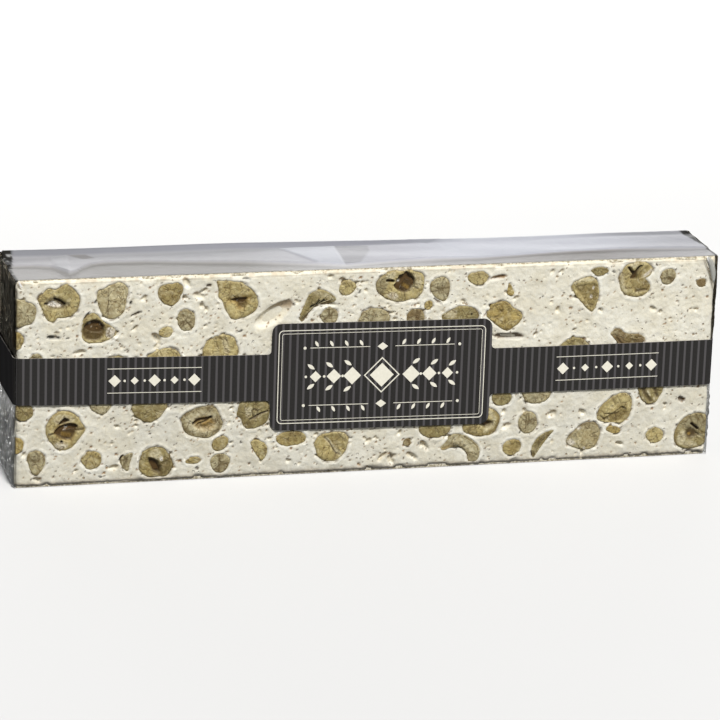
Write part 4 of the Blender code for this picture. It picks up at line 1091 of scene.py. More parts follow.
def spine_of(outline):
    """For each point of an outline, the place inside that its spoke starts from: the middle for a
    round shape, and a line along the middle for a long or bent one."""
    count = len(outline)
    centre = outline.mean(0)
    spans = np.linalg.norm(outline[:, None] - outline[None], axis=-1)
    first, second = np.unravel_index(spans.argmax(), spans.shape)
    long = spans[first, second]
    narrow = abs(signed_area(outline)) / long * 4 / math.pi
    share = float(np.clip((long / narrow - 1.5) / 0.8, 0.0, 0.92))
    across_gap = (second - first) % count
    mirror = np.empty(count, int)
    for index in range(count):
        step = (index - first) % count
        if step <= across_gap:
            other = second + (across_gap - step) * (count - across_gap) / max(across_gap, 1)
        else:
            other = first + (count - step) * across_gap / max(count - across_gap, 1)
        mirror[index] = int(round(other)) % count
    middle = (outline + outline[mirror]) / 2
    return centre + share * (middle - centre)


def distance_to_edges(points, start, end):
    """Distance of each point from the nearest of some straight edges."""
    edge = (end - start)[None]
    here = points[:, None]
    share = np.clip(((here - start) * edge).sum(-1) / np.maximum((edge**2).sum(-1), 1e-9), 0, 1)
    nearest = start + share[..., None] * edge
    return np.sqrt(((here - nearest) ** 2).sum(-1)).min(1)


def distance_to_loop(points, loop):
    """Distance of each point from a closed outline, negative inside it."""
    after = np.roll(loop, -1, 0)
    distance = distance_to_edges(points, loop, after)
    start = loop[None]
    end = after[None]
    here = points[:, None]
    crosses = (start[..., 1] > here[..., 1]) != (end[..., 1] > here[..., 1])
    rise = end[..., 1] - start[..., 1]
    slope = np.where(np.abs(rise) < 1e-9, 1e-9, rise)
    at = start[..., 0] + (here[..., 1] - start[..., 1]) / slope * (end - start)[..., 0]
    inside = (crosses & (here[..., 0] < at)).sum(1) % 2 == 1
    return np.where(inside, -distance, distance)


def mark_share(flat, mark):
    """How far into a mark each place lies, from 0 outside to 1 within its soft edge."""
    path = np.array(mark.path, float)
    if mark.width:
        distance = distance_to_edges(flat, path[:-1], path[1:]) - mark.width / 2
    else:
        distance = distance_to_loop(flat, smooth_loop(path, 5 * len(path)))
    return smooth_step(-distance, -mark.soft, mark.soft)


def bubble_share(across, up, bubble, seed):
    """How deep in a round-bottomed bubble each point lies: 0 outside, 1 at its deepest."""
    back_across, back_up = turned(-bubble.turn, across - bubble.across, up - bubble.up)
    angle = np.arctan2(back_up / bubble.height, back_across / bubble.width)
    waves = 1 + bubble.star * np.sin(2 * angle + seed)
    reach = waves + 0.6 * bubble.star * np.sin(3 * angle + 2.1 * seed)
    distance = np.hypot(back_across / (bubble.width / 2), back_up / (bubble.height / 2)) / reach
    return np.clip(1 - distance**2, 0.0, 1.0) ** 0.7


def nut_flesh(tone, in_space, share, streaks, grain, seed):
    """Colours of a cut nut: patches and streaks, paler and darker places, and the skin's edge."""
    flesh = np.broadcast_to(np.array(TONES[tone]), in_space.shape).copy()
    patches = noise_field(in_space, 3.2, seed + 3)
    flesh *= (1 + 0.2 * patches + 0.14 * grain + 0.16 * streaks)[..., None]
    pale = smooth_step(noise_field(in_space, 2.1, seed + 5), 0.1, 0.5)
    flesh = blend(flesh, np.array(TONES["pale"]) * 1.08, 0.4 * pale)
    dim = smooth_step(noise_field(in_space, 2.8, seed + 8), 0.15, 0.55)
    flesh = blend(flesh, np.array(TONES["brown"]), 0.4 * dim)
    rim_wave = 0.03 * noise_field(in_space, 1.6, seed + 6)
    broken = 0.2 + 0.75 * smooth_step(noise_field(in_space, 3.0, seed + 9), -0.25, 0.3)
    skin = smooth_step(share + rim_wave, 0.92, 0.985)
    flesh = blend(flesh, SKIN, skin * broken)
    halo = smooth_step(share + rim_wave, 0.7, 0.88) * (1 - skin)
    return blend(flesh, np.array(TONES["ochre"]) * 0.85, 0.3 * halo)


def nut_patch(face, outline, tone, marks, seed, ring_count, rise):
    """The cut face of a nut with its marks and its skin, closed behind the face. Returns
    points, faces and colours."""
    spokes = len(outline)
    spine = spine_of(outline)
    centre = outline.mean(0)
    reach = 0.03 + 0.97 * np.linspace(0.0, 1.0, ring_count) ** 0.85
    flat = spine + reach[:, None, None] * (outline - spine)
    across = flat[..., 0]
    up = flat[..., 1]
    share = np.broadcast_to(reach[:, None], across.shape)
    in_space = to_space(face, across, up, 0.0)
    out = rise * (1 - smooth_step(share, 0.8, 1.0)) - NUT_EDGE_DEPTH * smooth_step(share, 0.9, 1.0)
    for size, height, step in NUT_LUMPS:
        out = out + height * noise_field(in_space, size, seed + step)
    angle = np.arctan2(up - centre[1], across - centre[0])
    length = np.hypot(across - centre[0], up - centre[1])
    around = np.stack((4.0 * np.cos(angle), 4.0 * np.sin(angle), 0.25 * length), -1)
    streaks = noise_field(around, 0.8, seed + 7)
    out += 0.1 * streaks * smooth_step(share, 0.1, 0.4)
    grain = noise_field(in_space, 1.0, seed + 4)
    flesh = nut_flesh(tone, in_space, share, streaks, grain, seed)
    wobble = [NUT_WOBBLE * noise_field(in_space, 1.3, seed + step) for step in (12, 13)]
    places = (np.stack((across, up), -1) + np.stack(wobble, -1)).reshape(-1, 2)
    for mark in marks:
        covered = mark_share(places, mark).reshape(across.shape)
        out = out - mark.depth * covered * smooth_step(1.02 - share, 0.0, 0.1)
        ink = np.array(MARK_TONES[mark.tone]) * (1 + 0.25 * grain)[..., None]
        flesh = blend(flesh, ink, mark.share * covered)
    middle = spine.mean(0)
    points = np.vstack((
        to_space(face, across, up, out).reshape(-1, 3),
        to_space(face, *outline.T, -NUT_ROOT),
        to_space(face, *middle, out[0].mean()),
        to_space(face, *middle, -NUT_ROOT),
    ))
    colours = np.vstack((flesh.reshape(-1, 3), np.tile(SKIN, (spokes, 1)), flesh[0].mean(0), SKIN))
    top = len(points) - 2
    last = ring_count * spokes
    faces = []
    for spoke in range(spokes):
        after = (spoke + 1) % spokes
        for low in range(0, last, spokes):
            faces.append((low + spoke, low + spokes + spoke, low + spokes + after, low + after))
        faces.append((top, spoke, after))
        faces.append((top + 1, last + after, last + spoke))
    if face in ("back", "left"):
        faces = [tuple(reversed(corners)) for corners in faces]
    return points, faces, colours


def broken_outline(face, loop, count, amount, seed):
    """A closed outline pushed in and out by up to about that many millimetres, as a broken edge
    runs, and kept on its face."""
    outline = even_loop(loop, count)
    offset = outline - outline.mean(0)
    length = np.hypot(*offset.T)[:, None]
    places = np.column_stack((outline, np.zeros(count)))
    wave = lumps(places, OUTLINE_LUMPS, seed)
    outline = outline + offset / length * wave[:, None] * amount
    reach = HALF_SIZES[1 - FACES[face][0]]
    low = (-reach, NOUGAT_LOW + FOOT_MARGIN)
    return np.clip(outline, low, (reach, NOUGAT_HIGH))


def make_nuts():
    """One piece for each hazelnut of the CAD model, on the outline that the node has in its face."""
    outlines = []
    for node in sorted(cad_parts):
        if not node.startswith("hazelnut_"):
            continue
        _, face, kind, number = node.split("_")
        seed = int(number) + SEEDS_PER_FACE * list(FACES).index(face)
        loop = cut_outline(node, face)
        if face == "front":
            look = FRONT_LOOKS[int(number)]
        else:
            look = random_look(random.Random(seed), kind, loop)
        drawn = np.array(look.outline) if look.outline else loop
        roughness = DRAWN_ROUGHNESS if look.outline else OVAL_ROUGHNESS
        smooth = smooth_loop(drawn, 6 * len(drawn))
        outline = broken_outline(face, smooth, NUT_SPOKES, roughness, seed)
        patch = nut_patch(face, outline, look.tone, look.marks, seed, NUT_RINGS, NUT_RISE)
        points, faces, colours = patch
        piece = make_piece(f"nut_{face}_{number}", points, faces, materials["hazelnut"], colours)
        ride(piece, "hazelnut", node)
        outlines.append((face, outline))
    return outlines


def oval(dice, middle, width, height, turn):
    """A closed, uneven outline of eight points, to be smoothed."""
    points = []
    for step in range(8):
        angle = math.pi * step / 4
        reach = dice.uniform(0.38, 0.6)
        across, up = turned(turn, width * reach * math.cos(angle), height * reach * math.sin(angle))
        points.append((middle[0] + across, middle[1] + up))
    return points


def random_look(dice, kind, loop):
    """Looks of a nut that the photograph doesn't show, by what its CAD node is called."""
    width, height = np.ptp(loop, axis=0)
    across, up = loop.mean(0)
    middle = (across + dice.uniform(-0.4, 0.4), up + dice.uniform(-0.4, 0.4))
    turn = dice.uniform(-60, 60)
    pale_at = (across + dice.uniform(-0.3, 0.3) * width, up + dice.uniform(-0.3, 0.3) * height)
    pale = oval(dice, pale_at, 0.4 * width, 0.25 * height, dice.uniform(-60, 60))
    marks = [Mark("pale", pale, 0, 0, 0.5, 0.5)]

    def spot(tone, place, wide, high, depth, *soft):
        marks.append(Mark(tone, oval(dice, place, width * wide, height * high, turn), 0, depth, *soft))

    if kind == "ring":
        size = dice.uniform(0.38, 0.48)
        # The cavity's spots are painted shade: amber round it, umber in it and dark set high, under its
        # rim
        upper_shade = (middle[0], middle[1] + 0.1 * height)
        spot("amber", middle, size * 1.3, size * 1.3, 0.2, 0.6, 0.6)
        spot("umber", middle, size, size, 0.9, 0.3)
        spot("dark", upper_shade, size * 0.8, size * 0.6, 1.0, 0.3)
    elif kind == "slit":
        # Painted shade in and round the slit
        spot("amber", middle, 0.5, 0.32, 0.4, 0.8, 0.7)
        spot("dark", middle, 0.34, 0.1, 1.0, 0.2)
    else:
        crack = [np.add(middle, turned(turn, 0.15 * end, 0.3 * height * end)) for end in (-1, 0, 1)]
        marks.append(Mark("shade", crack, 0.35, 0.15, 0.2, 0.8))
    return Look(dice.choice(OTHER_TONES), (), marks)


def web_of_cracks(dice, outline):
    """Fine dark lines that cross a dried piece of nut from edge to edge."""
    middle = outline.mean(0)
    marks = []
    for _ in range(CHIP_CRACKS):
        first, last = dice.sample(range(len(outline)), 2)
        bend = middle + (dice.uniform(-0.9, 0.9), dice.uniform(-0.9, 0.9))
        start, end = (middle + 0.9 * (outline[index] - middle) for index in (first, last))
        marks.append(Mark("shade", (start, bend, end), 0.2, 0.06, 0.25, 0.75))
    return marks


def make_chips():
    """The smaller pieces of hazelnut in all four cut faces, joined into one piece."""
    chips = []
    for index, shape in enumerate(FRONT_CHIPS):
        chips.append(("front", chip_outline(shape, index, 4 * CHIP_SPOKES), shape.tone))
    dice = random.Random("chips")
    for face in ("back", "left", "right"):
        loops = sorted(flat_loops("nougat", face, CHIP_PROUD), key=lambda loop: loop[:, 0].min())
        for loop in loops:
            chips.append((face, smooth_loop(loop, 6 * len(loop)), dice.choice(OTHER_TONES)))
    outlines = []
    all_points = []
    all_faces = []
    all_colours = []
    shift = 0
    for seed, (face, loop, tone) in enumerate(chips, CHIP_SEED):
        outline = broken_outline(face, loop, CHIP_SPOKES, CHIP_ROUGHNESS, seed)
        marks = web_of_cracks(dice, outline) if tone == "grey" else ()
        patch = nut_patch(face, outline, tone, marks, seed, CHIP_RINGS, CHIP_RISE)
        points, faces, colours = patch
        all_points.append(points)
        all_colours.append(colours)
        all_faces += [tuple(corner + shift for corner in corners) for corners in faces]
        shift += len(points)
        outlines.append((face, outline))
    points = np.vstack(all_points)
    colours = np.vstack(all_colours)
    piece = make_piece("nut_pieces", points, all_faces, materials["hazelnut"], colours)
    ride(piece, "hazelnut", "nougat")
    return outlines


def wall_run(face, start, end, cell):
    """Columns of a straight stretch of wall: face, across, x, y and the way that they look."""
    axis, side = FACES[face]
    count = round(abs(end - start) / cell)
    columns = []
    for step in range(count + 1):
        along = start + (end - start) * step / count
        wall = side * HALF_SIZES[axis]
        place = (along, wall, 0.0, side) if axis else (wall, along, side, 0.0)
        columns.append((face, along, *place))
    return columns


def wall_corner(face_before, face_after, side_x, side_y, start_degrees):
    """Columns of a rounded upright edge, between two stretches of wall."""
    columns = []
    for step in range(1, CELLS_CORNER):
        angle = math.radians(start_degrees + 90 * step / CELLS_CORNER)
        out_x = math.cos(angle)
        out_y = math.sin(angle)
        x = side_x * (HALF_LENGTH - WALL_CORNER) + WALL_CORNER * out_x
        y = side_y * (HALF_THICKNESS - WALL_CORNER) + WALL_CORNER * out_y
        face = face_before if step <= CELLS_CORNER / 2 else face_after
        across = x if face in ("front", "back") else y
        columns.append((face, across, x, y, out_x, out_y))
    return columns


def front_path():
    straight_x = HALF_LENGTH - WALL_CORNER
    columns = wall_corner("left", "front", -1, -1, 180)
    columns += wall_run("front", -straight_x, straight_x, FRONT_CELL)
    return columns + wall_corner("front", "right", 1, -1, 270)


def rear_path():
    straight_x = HALF_LENGTH - WALL_CORNER
    straight_y = HALF_THICKNESS - WALL_CORNER
    columns = wall_run("right", -straight_y, straight_y, BACK_CELL)
    columns += wall_corner("right", "back", 1, 1, 0)
    columns += wall_run("back", straight_x, -straight_x, BACK_CELL)
    columns += wall_corner("back", "left", -1, 1, 90)
    return columns + wall_run("left", straight_y, -straight_y, BACK_CELL)


def window_at(across, up, middle_across, middle_up, reach):
    """The part of a wall within reach of a place: its rows and columns, and its places."""
    columns = np.nonzero(np.abs(across - middle_across) < reach)[0]
    rows = np.nonzero(np.abs(up - middle_up) < reach)[0]
    grid_across, grid_up = np.meshgrid(across[columns], up[rows])
    return np.ix_(rows, columns), grid_across, grid_up


def sink_socket(face, across, up, out, colour, loop, seed):
    """Sinks the socket of a nut into a wall, with a low lip, a cracked edge darkened as painted shade, and
    a painted highlight along its rim.
    """
    middle = loop.mean(0)
    reach = np.abs(loop - middle).max() + SOCKET_REACH
    window, grid_across, grid_up = window_at(across, up, *middle, reach)
    if not grid_across.size:
        return
    flat = np.stack((grid_across.ravel(), grid_up.ravel()), -1)
    distance = distance_to_loop(flat, loop).reshape(grid_across.shape)
    crack = noise_field(to_space(face, grid_across, grid_up, 0.0), 1.7, seed + 70)
    at_edge = smooth_step(-np.abs(distance - 0.1), -0.5, 0.0)
    out[window] += SOCKET_LIP * smooth_step(-np.abs(distance - 0.45), -0.5, 0.0)
    out[window] -= SOCKET_DEPTH * smooth_step(-distance, 0.15, 0.7)
    out[window] -= SOCKET_CRACK * smooth_step(crack, 0.15, 0.5) * at_edge
    # Painted highlight along the lip round the nut
    pale = 0.5 * smooth_step(-np.abs(distance - 0.5), -0.6, 0.0)
    colour[window] = blend(colour[window], CREAM_HIGHLIGHT, pale)
    # Painted shade in the cracks at the nut's edge
    dark = smooth_step(crack, 0.2, 0.5) * smooth_step(-np.abs(distance), -0.45, -0.05)
    colour[window] = blend(colour[window], SHADE_FILLS["brown"], 0.7 * dark)
    colour[window] = blend(colour[window], SKIN, smooth_step(-distance, 0.1, 0.6))


def sink_hollow(across, up, out, colour, hollow, seed):
    """Sinks a void or a bubble into a wall, with painted shade under its top edge and a painted highlight
    along its bottom edge.
    """
    reach = 0.7 * hollow.width + 1.0
    window, grid_across, grid_up = window_at(across, up, hollow.across, hollow.up, reach)
    if not grid_across.size:
        return
    depth = bubble_share(grid_across, grid_up, hollow, seed)
    out[window] -= hollow.depth * depth
    leaning = 0.6 * hollow.width * math.sin(math.radians(hollow.turn))
    height = (grid_up - hollow.up) / (0.5 * math.hypot(hollow.height, leaning))
    inside = smooth_step(depth, 0.05, 0.4)
    # A floor that is not white is painted shade in the hollow
    pale = hollow.fill == "white"
    floor = CREAM_WARM if pale else SHADE_FILLS[hollow.fill]
    colour[window] = blend(colour[window], floor, (0.5 if pale else 0.85) * inside)
    # Painted shade under the hollow's top edge
    upper_shade = smooth_step(depth, 0.0, 0.25) * smooth_step(height, 0.25, 0.8)
    colour[window] = blend(colour[window], SHADE_FILLS["amber" if pale else "dark"], 0.6 * upper_shade)
    # Painted highlight along the hollow's bottom edge
    lower_highlight = smooth_step(depth, 0.0, 0.3) * smooth_step(-height, 0.3, 0.8)
    colour[window] = blend(colour[window], CREAM_HIGHLIGHT, 0.7 * lower_highlight)


def strewn_hollows(face, across, up):
    """The bubbles and specks of one cut face."""
    dice = random.Random(f"bubbles {face}")
    area = (np.ptp(across) * np.ptp(up)) / 100
    hollows = []
    for strewn in STREWN:
        for _ in range(round(strewn.density * area)):
            half = dice.uniform(*strewn.half_length)
            place = dice.uniform(across.min(), across.max())
            if dice.random() < SPARSE_SHARE * smooth_step(place, *SPARSE_FROM):
                continue
            hollows.append(Hollow(
                place,
                dice.uniform(up.min() + 0.8, up.max() - 0.8),
                2 * half,
                2 * half * dice.uniform(*strewn.flatness),
                dice.uniform(-90, 90),
                dice.uniform(*strewn.depth),
                dice.choice(strewn.fills),
            ))
    return hollows


def carve_face(face, across, up, out, colour, outlines):
    """Sinks the sockets of the nuts, the open voids and the bubbles into one face of the wall."""
    loops = [loop for loop_face, loop in outlines if loop_face == face]
    for seed, loop in enumerate(loops):
        sink_socket(face, across, up, out, colour, loop, seed)
    hollows = list(FRONT_VOIDS) if face == "front" else []
    for seed, hollow in enumerate(hollows + strewn_hollows(face, across, up)):
        sink_hollow(across, up, out, colour, hollow, seed)


def make_nougat_wall(name, columns, cell, closing, outlines):
    """One part of the sawn block: an uneven wall along the columns, with every socket, void and
    bubble, closed behind through a few points seen from above."""
    faces_of = np.array([column[0] for column in columns])
    numbers = np.array([column[1:] for column in columns], float)
    across = numbers[:, 0]
    up = np.linspace(NOUGAT_LOW, NOUGAT_HIGH, round((NOUGAT_HIGH - NOUGAT_LOW) / cell) + 1)
    count = len(columns)
    rows = len(up)
    base = np.empty((rows, count, 3))
    base[..., 0] = numbers[:, 1]
    base[..., 1] = numbers[:, 2]
    base[..., 2] = up[:, None]
    out = lumps(base, WALL_LUMPS)
    colour = np.broadcast_to(np.array(CREAM), base.shape).copy()
    # Painted light: the wall grows brighter higher up; the mottle over it is the nougat's own tone
    painted_light_higher = smooth_step(up, 14.0, 44.0)[:, None]
    colour *= (0.93 + 0.1 * painted_light_higher + lumps(base, WALL_MOTTLE))[..., None]
    for face in FACES:
        chosen = np.nonzero(faces_of == face)[0]
        if len(chosen) < CELLS_CORNER + 1:
            continue
        face_out = out[:, chosen]
        face_colour = colour[:, chosen]
        carve_face(face, across[chosen], up, face_out, face_colour, outlines)
        out[:, chosen] = face_out
        colour[:, chosen] = face_colour
    crumbs = noise_field(base, 3.1, 8)
    fine = noise_field(base, 1.1, 9)
    for edge in (NOUGAT_LOW, NOUGAT_HIGH):
        near_edge = smooth_step(-np.abs(up - edge), -EDGE_REACH, 0.0)[:, None]
        out -= near_edge * (0.12 + 0.5 * smooth_step(crumbs, 0.05, 0.5) + 0.12 * fine)
    points = base.copy()
    points[-1, :, 2] += 0.5 + 0.35 * crumbs[-1] + 0.2 * fine[-1]
    points[0, :, 2] -= 0.35 + 0.35 * crumbs[0] + 0.2 * fine[0]
    # Painted shade along the top edge under the wafer: warmer and darker, with amber in the crumbs
    top_edge_shade = smooth_step(up, NOUGAT_HIGH - 0.9, NOUGAT_HIGH)[:, None]
    colour = blend(colour, CREAM_WARM, 0.3 * top_edge_shade) * (1 - 0.24 * top_edge_shade)[..., None]
    colour = blend(colour, SHADE_FILLS["amber"], 0.3 * top_edge_shade * smooth_step(fine, 0.1, 0.4))
    # Painted shade along the foot: amber, with dark in the crumbs
    foot_shade = smooth_step(-up, -NOUGAT_LOW - EDGE_REACH, -NOUGAT_LOW)[:, None]
    colour = blend(colour, SHADE_FILLS["amber"], 0.3 * foot_shade)
    colour = blend(colour, SHADE_FILLS["dark"], 0.7 * foot_shade * smooth_step(crumbs, 0.0, 0.4))
    points[..., 0] += out * numbers[:, 3]
    points[..., 1] += out * numbers[:, 4]
    behind = np.array([[(x, y, height) for x, y in closing] for height in up])
    points = np.concatenate((points, behind), 1)
    whole = CREAM * np.ones((rows, len(closing), 3))
    colour = np.concatenate((colour, whole), 1)
    count += len(closing)
    faces = []
    for row in range(rows - 1):
        low = row * count
        for column in range(count):
            after = (column + 1) % count
            faces.append((low + column, low + after, low + count + after, low + count + column))
    faces.append(tuple(reversed(range(count))))
    faces.append(tuple(range((rows - 1) * count, rows * count)))
    piece = make_piece(name, points.reshape(-1, 3), faces, materials["nougat"], colour.reshape(-1, 3))
    for polygon in list(piece.data.polygons)[-2:]:
        polygon.use_smooth = False
    ride(piece, "nougat", "nougat")


def make_nougat(outlines):
    """The sawn block in two parts: the front face in fine cells, and the rest behind it."""
    side = HALF_LENGTH - SLAB_INSET
    narrow = side - SLAB_INSET
    slab_front = -HALF_THICKNESS + WALL_CORNER
    slab_back = -HALF_THICKNESS + SLAB_DEPTH
    closing = ((side, slab_front), (narrow, slab_back), (-narrow, slab_back), (-side, slab_front))
    make_nougat_wall("nougat_front", front_path(), FRONT_CELL, closing, outlines)
    closing = ((-narrow, slab_front + SLAB_GAP), (narrow, slab_front + SLAB_GAP))
    make_nougat_wall("nougat_rear", rear_path(), BACK_CELL, closing, outlines)


def band_middle(x):
    """The height of the paper strip's middle, which hangs a little askew."""
    return BAND_MIDDLE + BAND_SLOPE * x + BAND_SAG * x * x


class Print:
    """Flat printed shapes on the band's front, each a very thin closed prism."""

    def __init__(self):
        self.points = []
        self.faces = []

    def lay(self, outline):
        """Adds points sunk in the paper and in front of it, from x and height above the band's
        middle, and returns the number of the first."""
        start = len(self.points)
        for depth in (PRINT_SUNK, PRINT_THICKNESS):
            for x, rise in outline:
                self.points.append((x, -PAPER_FRONT - depth, band_middle(x) + rise))
        return start

    def fill(self, outline):
        """A filled shape from its outline, anticlockwise from the front."""
        start = self.lay(outline)
        count = len(outline)
        self.faces.append(tuple(range(start + count, start + 2 * count)))
        self.faces.append(tuple(reversed(range(start, start + count))))
        for index in range(count):
            here = start + index
            there = start + (index + 1) % count
            self.faces.append((here, there, there + count, here + count))

    def line(self, path, width, closed=False):
        """A line of even width along a path, in quads with mitred joints."""
        path = np.asarray(path, float)
        count = len(path)
        before = np.roll(path, 1, 0)
        after = np.roll(path, -1, 0)
        if not closed:
            before[0] = 2 * path[0] - path[1]
            after[-1] = 2 * path[-1] - path[-2]
        first = (path - before) / np.linalg.norm(path - before, axis=1)[:, None]
        second = (after - path) / np.linalg.norm(after - path, axis=1)[:, None]
        normal = np.stack((-(first + second)[:, 1], (first + second)[:, 0]), -1)
        normal *= (width / np.maximum((normal**2).sum(1), 0.8))[:, None]
        start = self.lay(np.vstack((path + normal, path - normal)))
        low_left, low_right, high_left, high_right = (start + count * side for side in range(4))
        ring = (high_right, high_left, low_left, low_right)
        for index in range(count if closed else count - 1):
            there = (index + 1) % count
            for edge, next_edge in zip(ring, ring[1:] + ring[:1]):
                self.faces.append((edge + index, edge + there, next_edge + there, next_edge + index))
        if not closed:
            cap = (low_left, low_right, high_right, high_left)
            self.faces.append(cap)
            self.faces.append(tuple(corner + count - 1 for corner in reversed(cap)))

    def disc(self, x, rise, radius, sides=16):
        angles = [2 * math.pi * side / sides for side in range(sides)]
        self.fill([(x + radius * math.cos(a), rise + radius * math.sin(a)) for a in angles])

    def leaf(self, x, rise, length, half_width, turn, steps=9):
        """A pointed leaf that starts at a place and grows along its turn."""
        outline = []
        for side in (-1, 1):
            for step in range(steps):
                share = step / steps if side < 0 else 1 - step / steps
                wide = side * half_width * math.sin(math.pi * share) ** 0.8 if 0 < share < 1 else 0.0
                outline.append(turned(turn, length * share, wide))
        self.fill([(x + across, rise + up) for across, up in outline])


def lozenge(x, rise, half_width, half_height):
    return [(x + across * half_width, rise + up * half_height)
            for across, up in ((1, 0), (0, 1), (-1, 0), (0, -1))]


def rounded_frame(half_width, half_height, corner, steps=6):
    """The path of a frame with round corners on the band's plate."""
    path = []
    for index, (side_x, side_z) in enumerate(((1, 1), (-1, 1), (-1, -1), (1, -1))):
        for step in range(steps + 1):
            angle = math.radians(90 * index + 90 * step / steps)
            path.append((
                PLATE_CENTRE + side_x * (half_width - corner) + corner * math.cos(angle),
                side_z * (half_height - corner) + corner * math.sin(angle),
            ))
    return path


def print_plate_row(ink, side):
    """The lozenges to one side of the plate's middle, with dots between and leaves at them."""
    for index in range(3):
        x = PLATE_CENTRE + side * (8.4 + 5.2 * index)
        size = 2.5 - 0.45 * index
        ink.fill(lozenge(x, 0, size, size))
        ink.disc(x + side * 2.75, 0, 0.36)
        for up in (-1, 1):
            ink.leaf(x + side * 0.3, up * (size + 0.5), 2.5, 0.5, up * (90 - side * SPRIG_LEAN))


def print_plate_rule(ink, side, rise):
    """A rule to one side of the plate's middle, with a dot at its end and leaves along it."""
    path = [(PLATE_CENTRE + side * reach, rise) for reach in (3.6, 20.5)]
    ink.line(path, RULE_WIDTH)
    ink.disc(PLATE_CENTRE + side * 22.0, rise, 0.42)
    for index in range(4):
        x = PLATE_CENTRE + side * (5.6 + 4.2 * index)
        turn = math.copysign(90, rise) - side * LEAF_LEAN
        ink.leaf(x, rise + math.copysign(0.3, rise), 1.9, 0.4, turn)


def print_strip(ink, start, end):
    """A row of lozenges, large and small, and dots between two rules on the band's strip."""
    gaps = STRIP_LOZENGES - 1
    for index in range(STRIP_LOZENGES):
        x = start + (end - start) * index / gaps
        size = 1.7 if index % 2 == 0 else 1.1
        ink.fill(lozenge(x, 0, size, size))
        if index < gaps:
            ink.disc(x + (end - start) / gaps / 2, 0, 0.34)
    for rise in (-STRIP_RULE_RISE, STRIP_RULE_RISE):
        ink.line([(start - 2.0, rise), (end + 2.0, rise)], RULE_WIDTH)


def make_print():
    """A plain ornament of rules, lozenges, dots and leaf sprigs."""
    ink = Print()
    for inset, corner, width in PLATE_FRAMES:
        path = rounded_frame(PLATE_WIDTH / 2 - inset, PLATE_HEIGHT / 2 - inset, corner)
        ink.line(path, width, closed=True)
    ink.fill(lozenge(PLATE_CENTRE, 0, 3.4, 3.4))
    ink.line(lozenge(PLATE_CENTRE, 0, 4.9, 4.9), 0.3, closed=True)
    for side in (-1, 1):
        print_plate_row(ink, side)
        for rise in (-RULE_RISE, RULE_RISE):
            print_plate_rule(ink, side, rise)
    for rise in (-RULE_RISE, RULE_RISE):
        ink.fill(lozenge(PLATE_CENTRE, rise, 1.5, 1.1))
    for start, end in STRIP_ORNAMENTS:
        print_strip(ink, start, end)
    piece = make_piece("band_ornament", ink.points, ink.faces, materials["print"], smooth=False)
    ride(piece, "band")


def along_stations(stations, x):
    """Colours at each x, between those of the stations."""
    places = [station.x for station in stations]
    tones = np.array([station.tone for station in stations])
    return np.stack([np.interp(x, places, tones[:, channel]) for channel in range(3)], -1)


def top_film(x, y):
    """How far the film stands above the bar's top, and its colour at places on the top, which is painted
    reflection and painted shade.
    """
    fold_y = np.interp(x, *np.array(FOLD_LINE).T)
    behind = smooth_step(y - fold_y, -0.25, 0.25)
    back_rise = np.interp(x, *np.array(BACK_RISE).T)
    at_back = smooth_step(y, 8.2, 11.8)
    height = 0.1 + 0.22 * behind + back_rise * at_back
    place = np.stack((x, y, np.zeros_like(x)), -1)
    waves = noise_field(place * (0.3, 1, 1), 8.0, 31)
    height = height + behind * (0.35 + 0.35 * waves) * smooth_step(HALF_THICKNESS - y, 0.0, 2.0)
    # The tones are painted reflection and painted shade of the film over the wafer
    tone = along_stations(STRIP_PAINTED_LIGHT, x)
    middle = along_stations(MIDDLE_PAINTED_LIGHT, x) * (1 + 0.03 * waves)[..., None]
    tone = blend(tone, middle, behind)
    tone = blend(tone, along_stations(BACK_PAINTED_LIGHT, x), smooth_step(y, 8.0, 9.6))
    flat = np.stack((x.ravel(), y.ravel()), -1)
    for facet in FACETS:
        corners = np.array(facet.corners)
        from_middle = np.abs(flat[:, 0] - corners[:, 0].mean())
        near_facet = np.nonzero(from_middle < np.ptp(corners[:, 0]))[0]
        share = np.zeros(len(flat))
        share[near_facet] = smooth_step(-distance_to_loop(flat[near_facet], corners), -0.2, 0.35)
        share = share.reshape(x.shape)
        # Painted light of each facet
        tone = blend(tone, facet.tone, 0.9 * share)
        height = height + facet.rise * share
    from_end = FILM_END - np.abs(x)
    end_width = 0.6 + 2.4 * smooth_step(y, -6.0, 12.0)
    height = 0.1 + (height - 0.1) * smooth_step(from_end, -0.3, 0.5)
    # Painted shade over the film's ends on top, with painted glints in it
    shine = smooth_step(noise_field(place, 1.3, 33), 0.25, 0.5)
    end_tone = blend(np.broadcast_to(np.array(END_SHADE), tone.shape), srgb(150, 150, 148), shine)
    tone = blend(tone, end_tone, smooth_step(end_width - from_end, -0.2, 0.2))
    edge = smooth_step(np.minimum(HALF_THICKNESS - np.abs(y), 0.6), 0.0, 0.6)
    front_side = smooth_step(-y, -2.0, 2.0)
    return height * (1 - front_side * (1 - edge)), tone * FILM_DIMMING


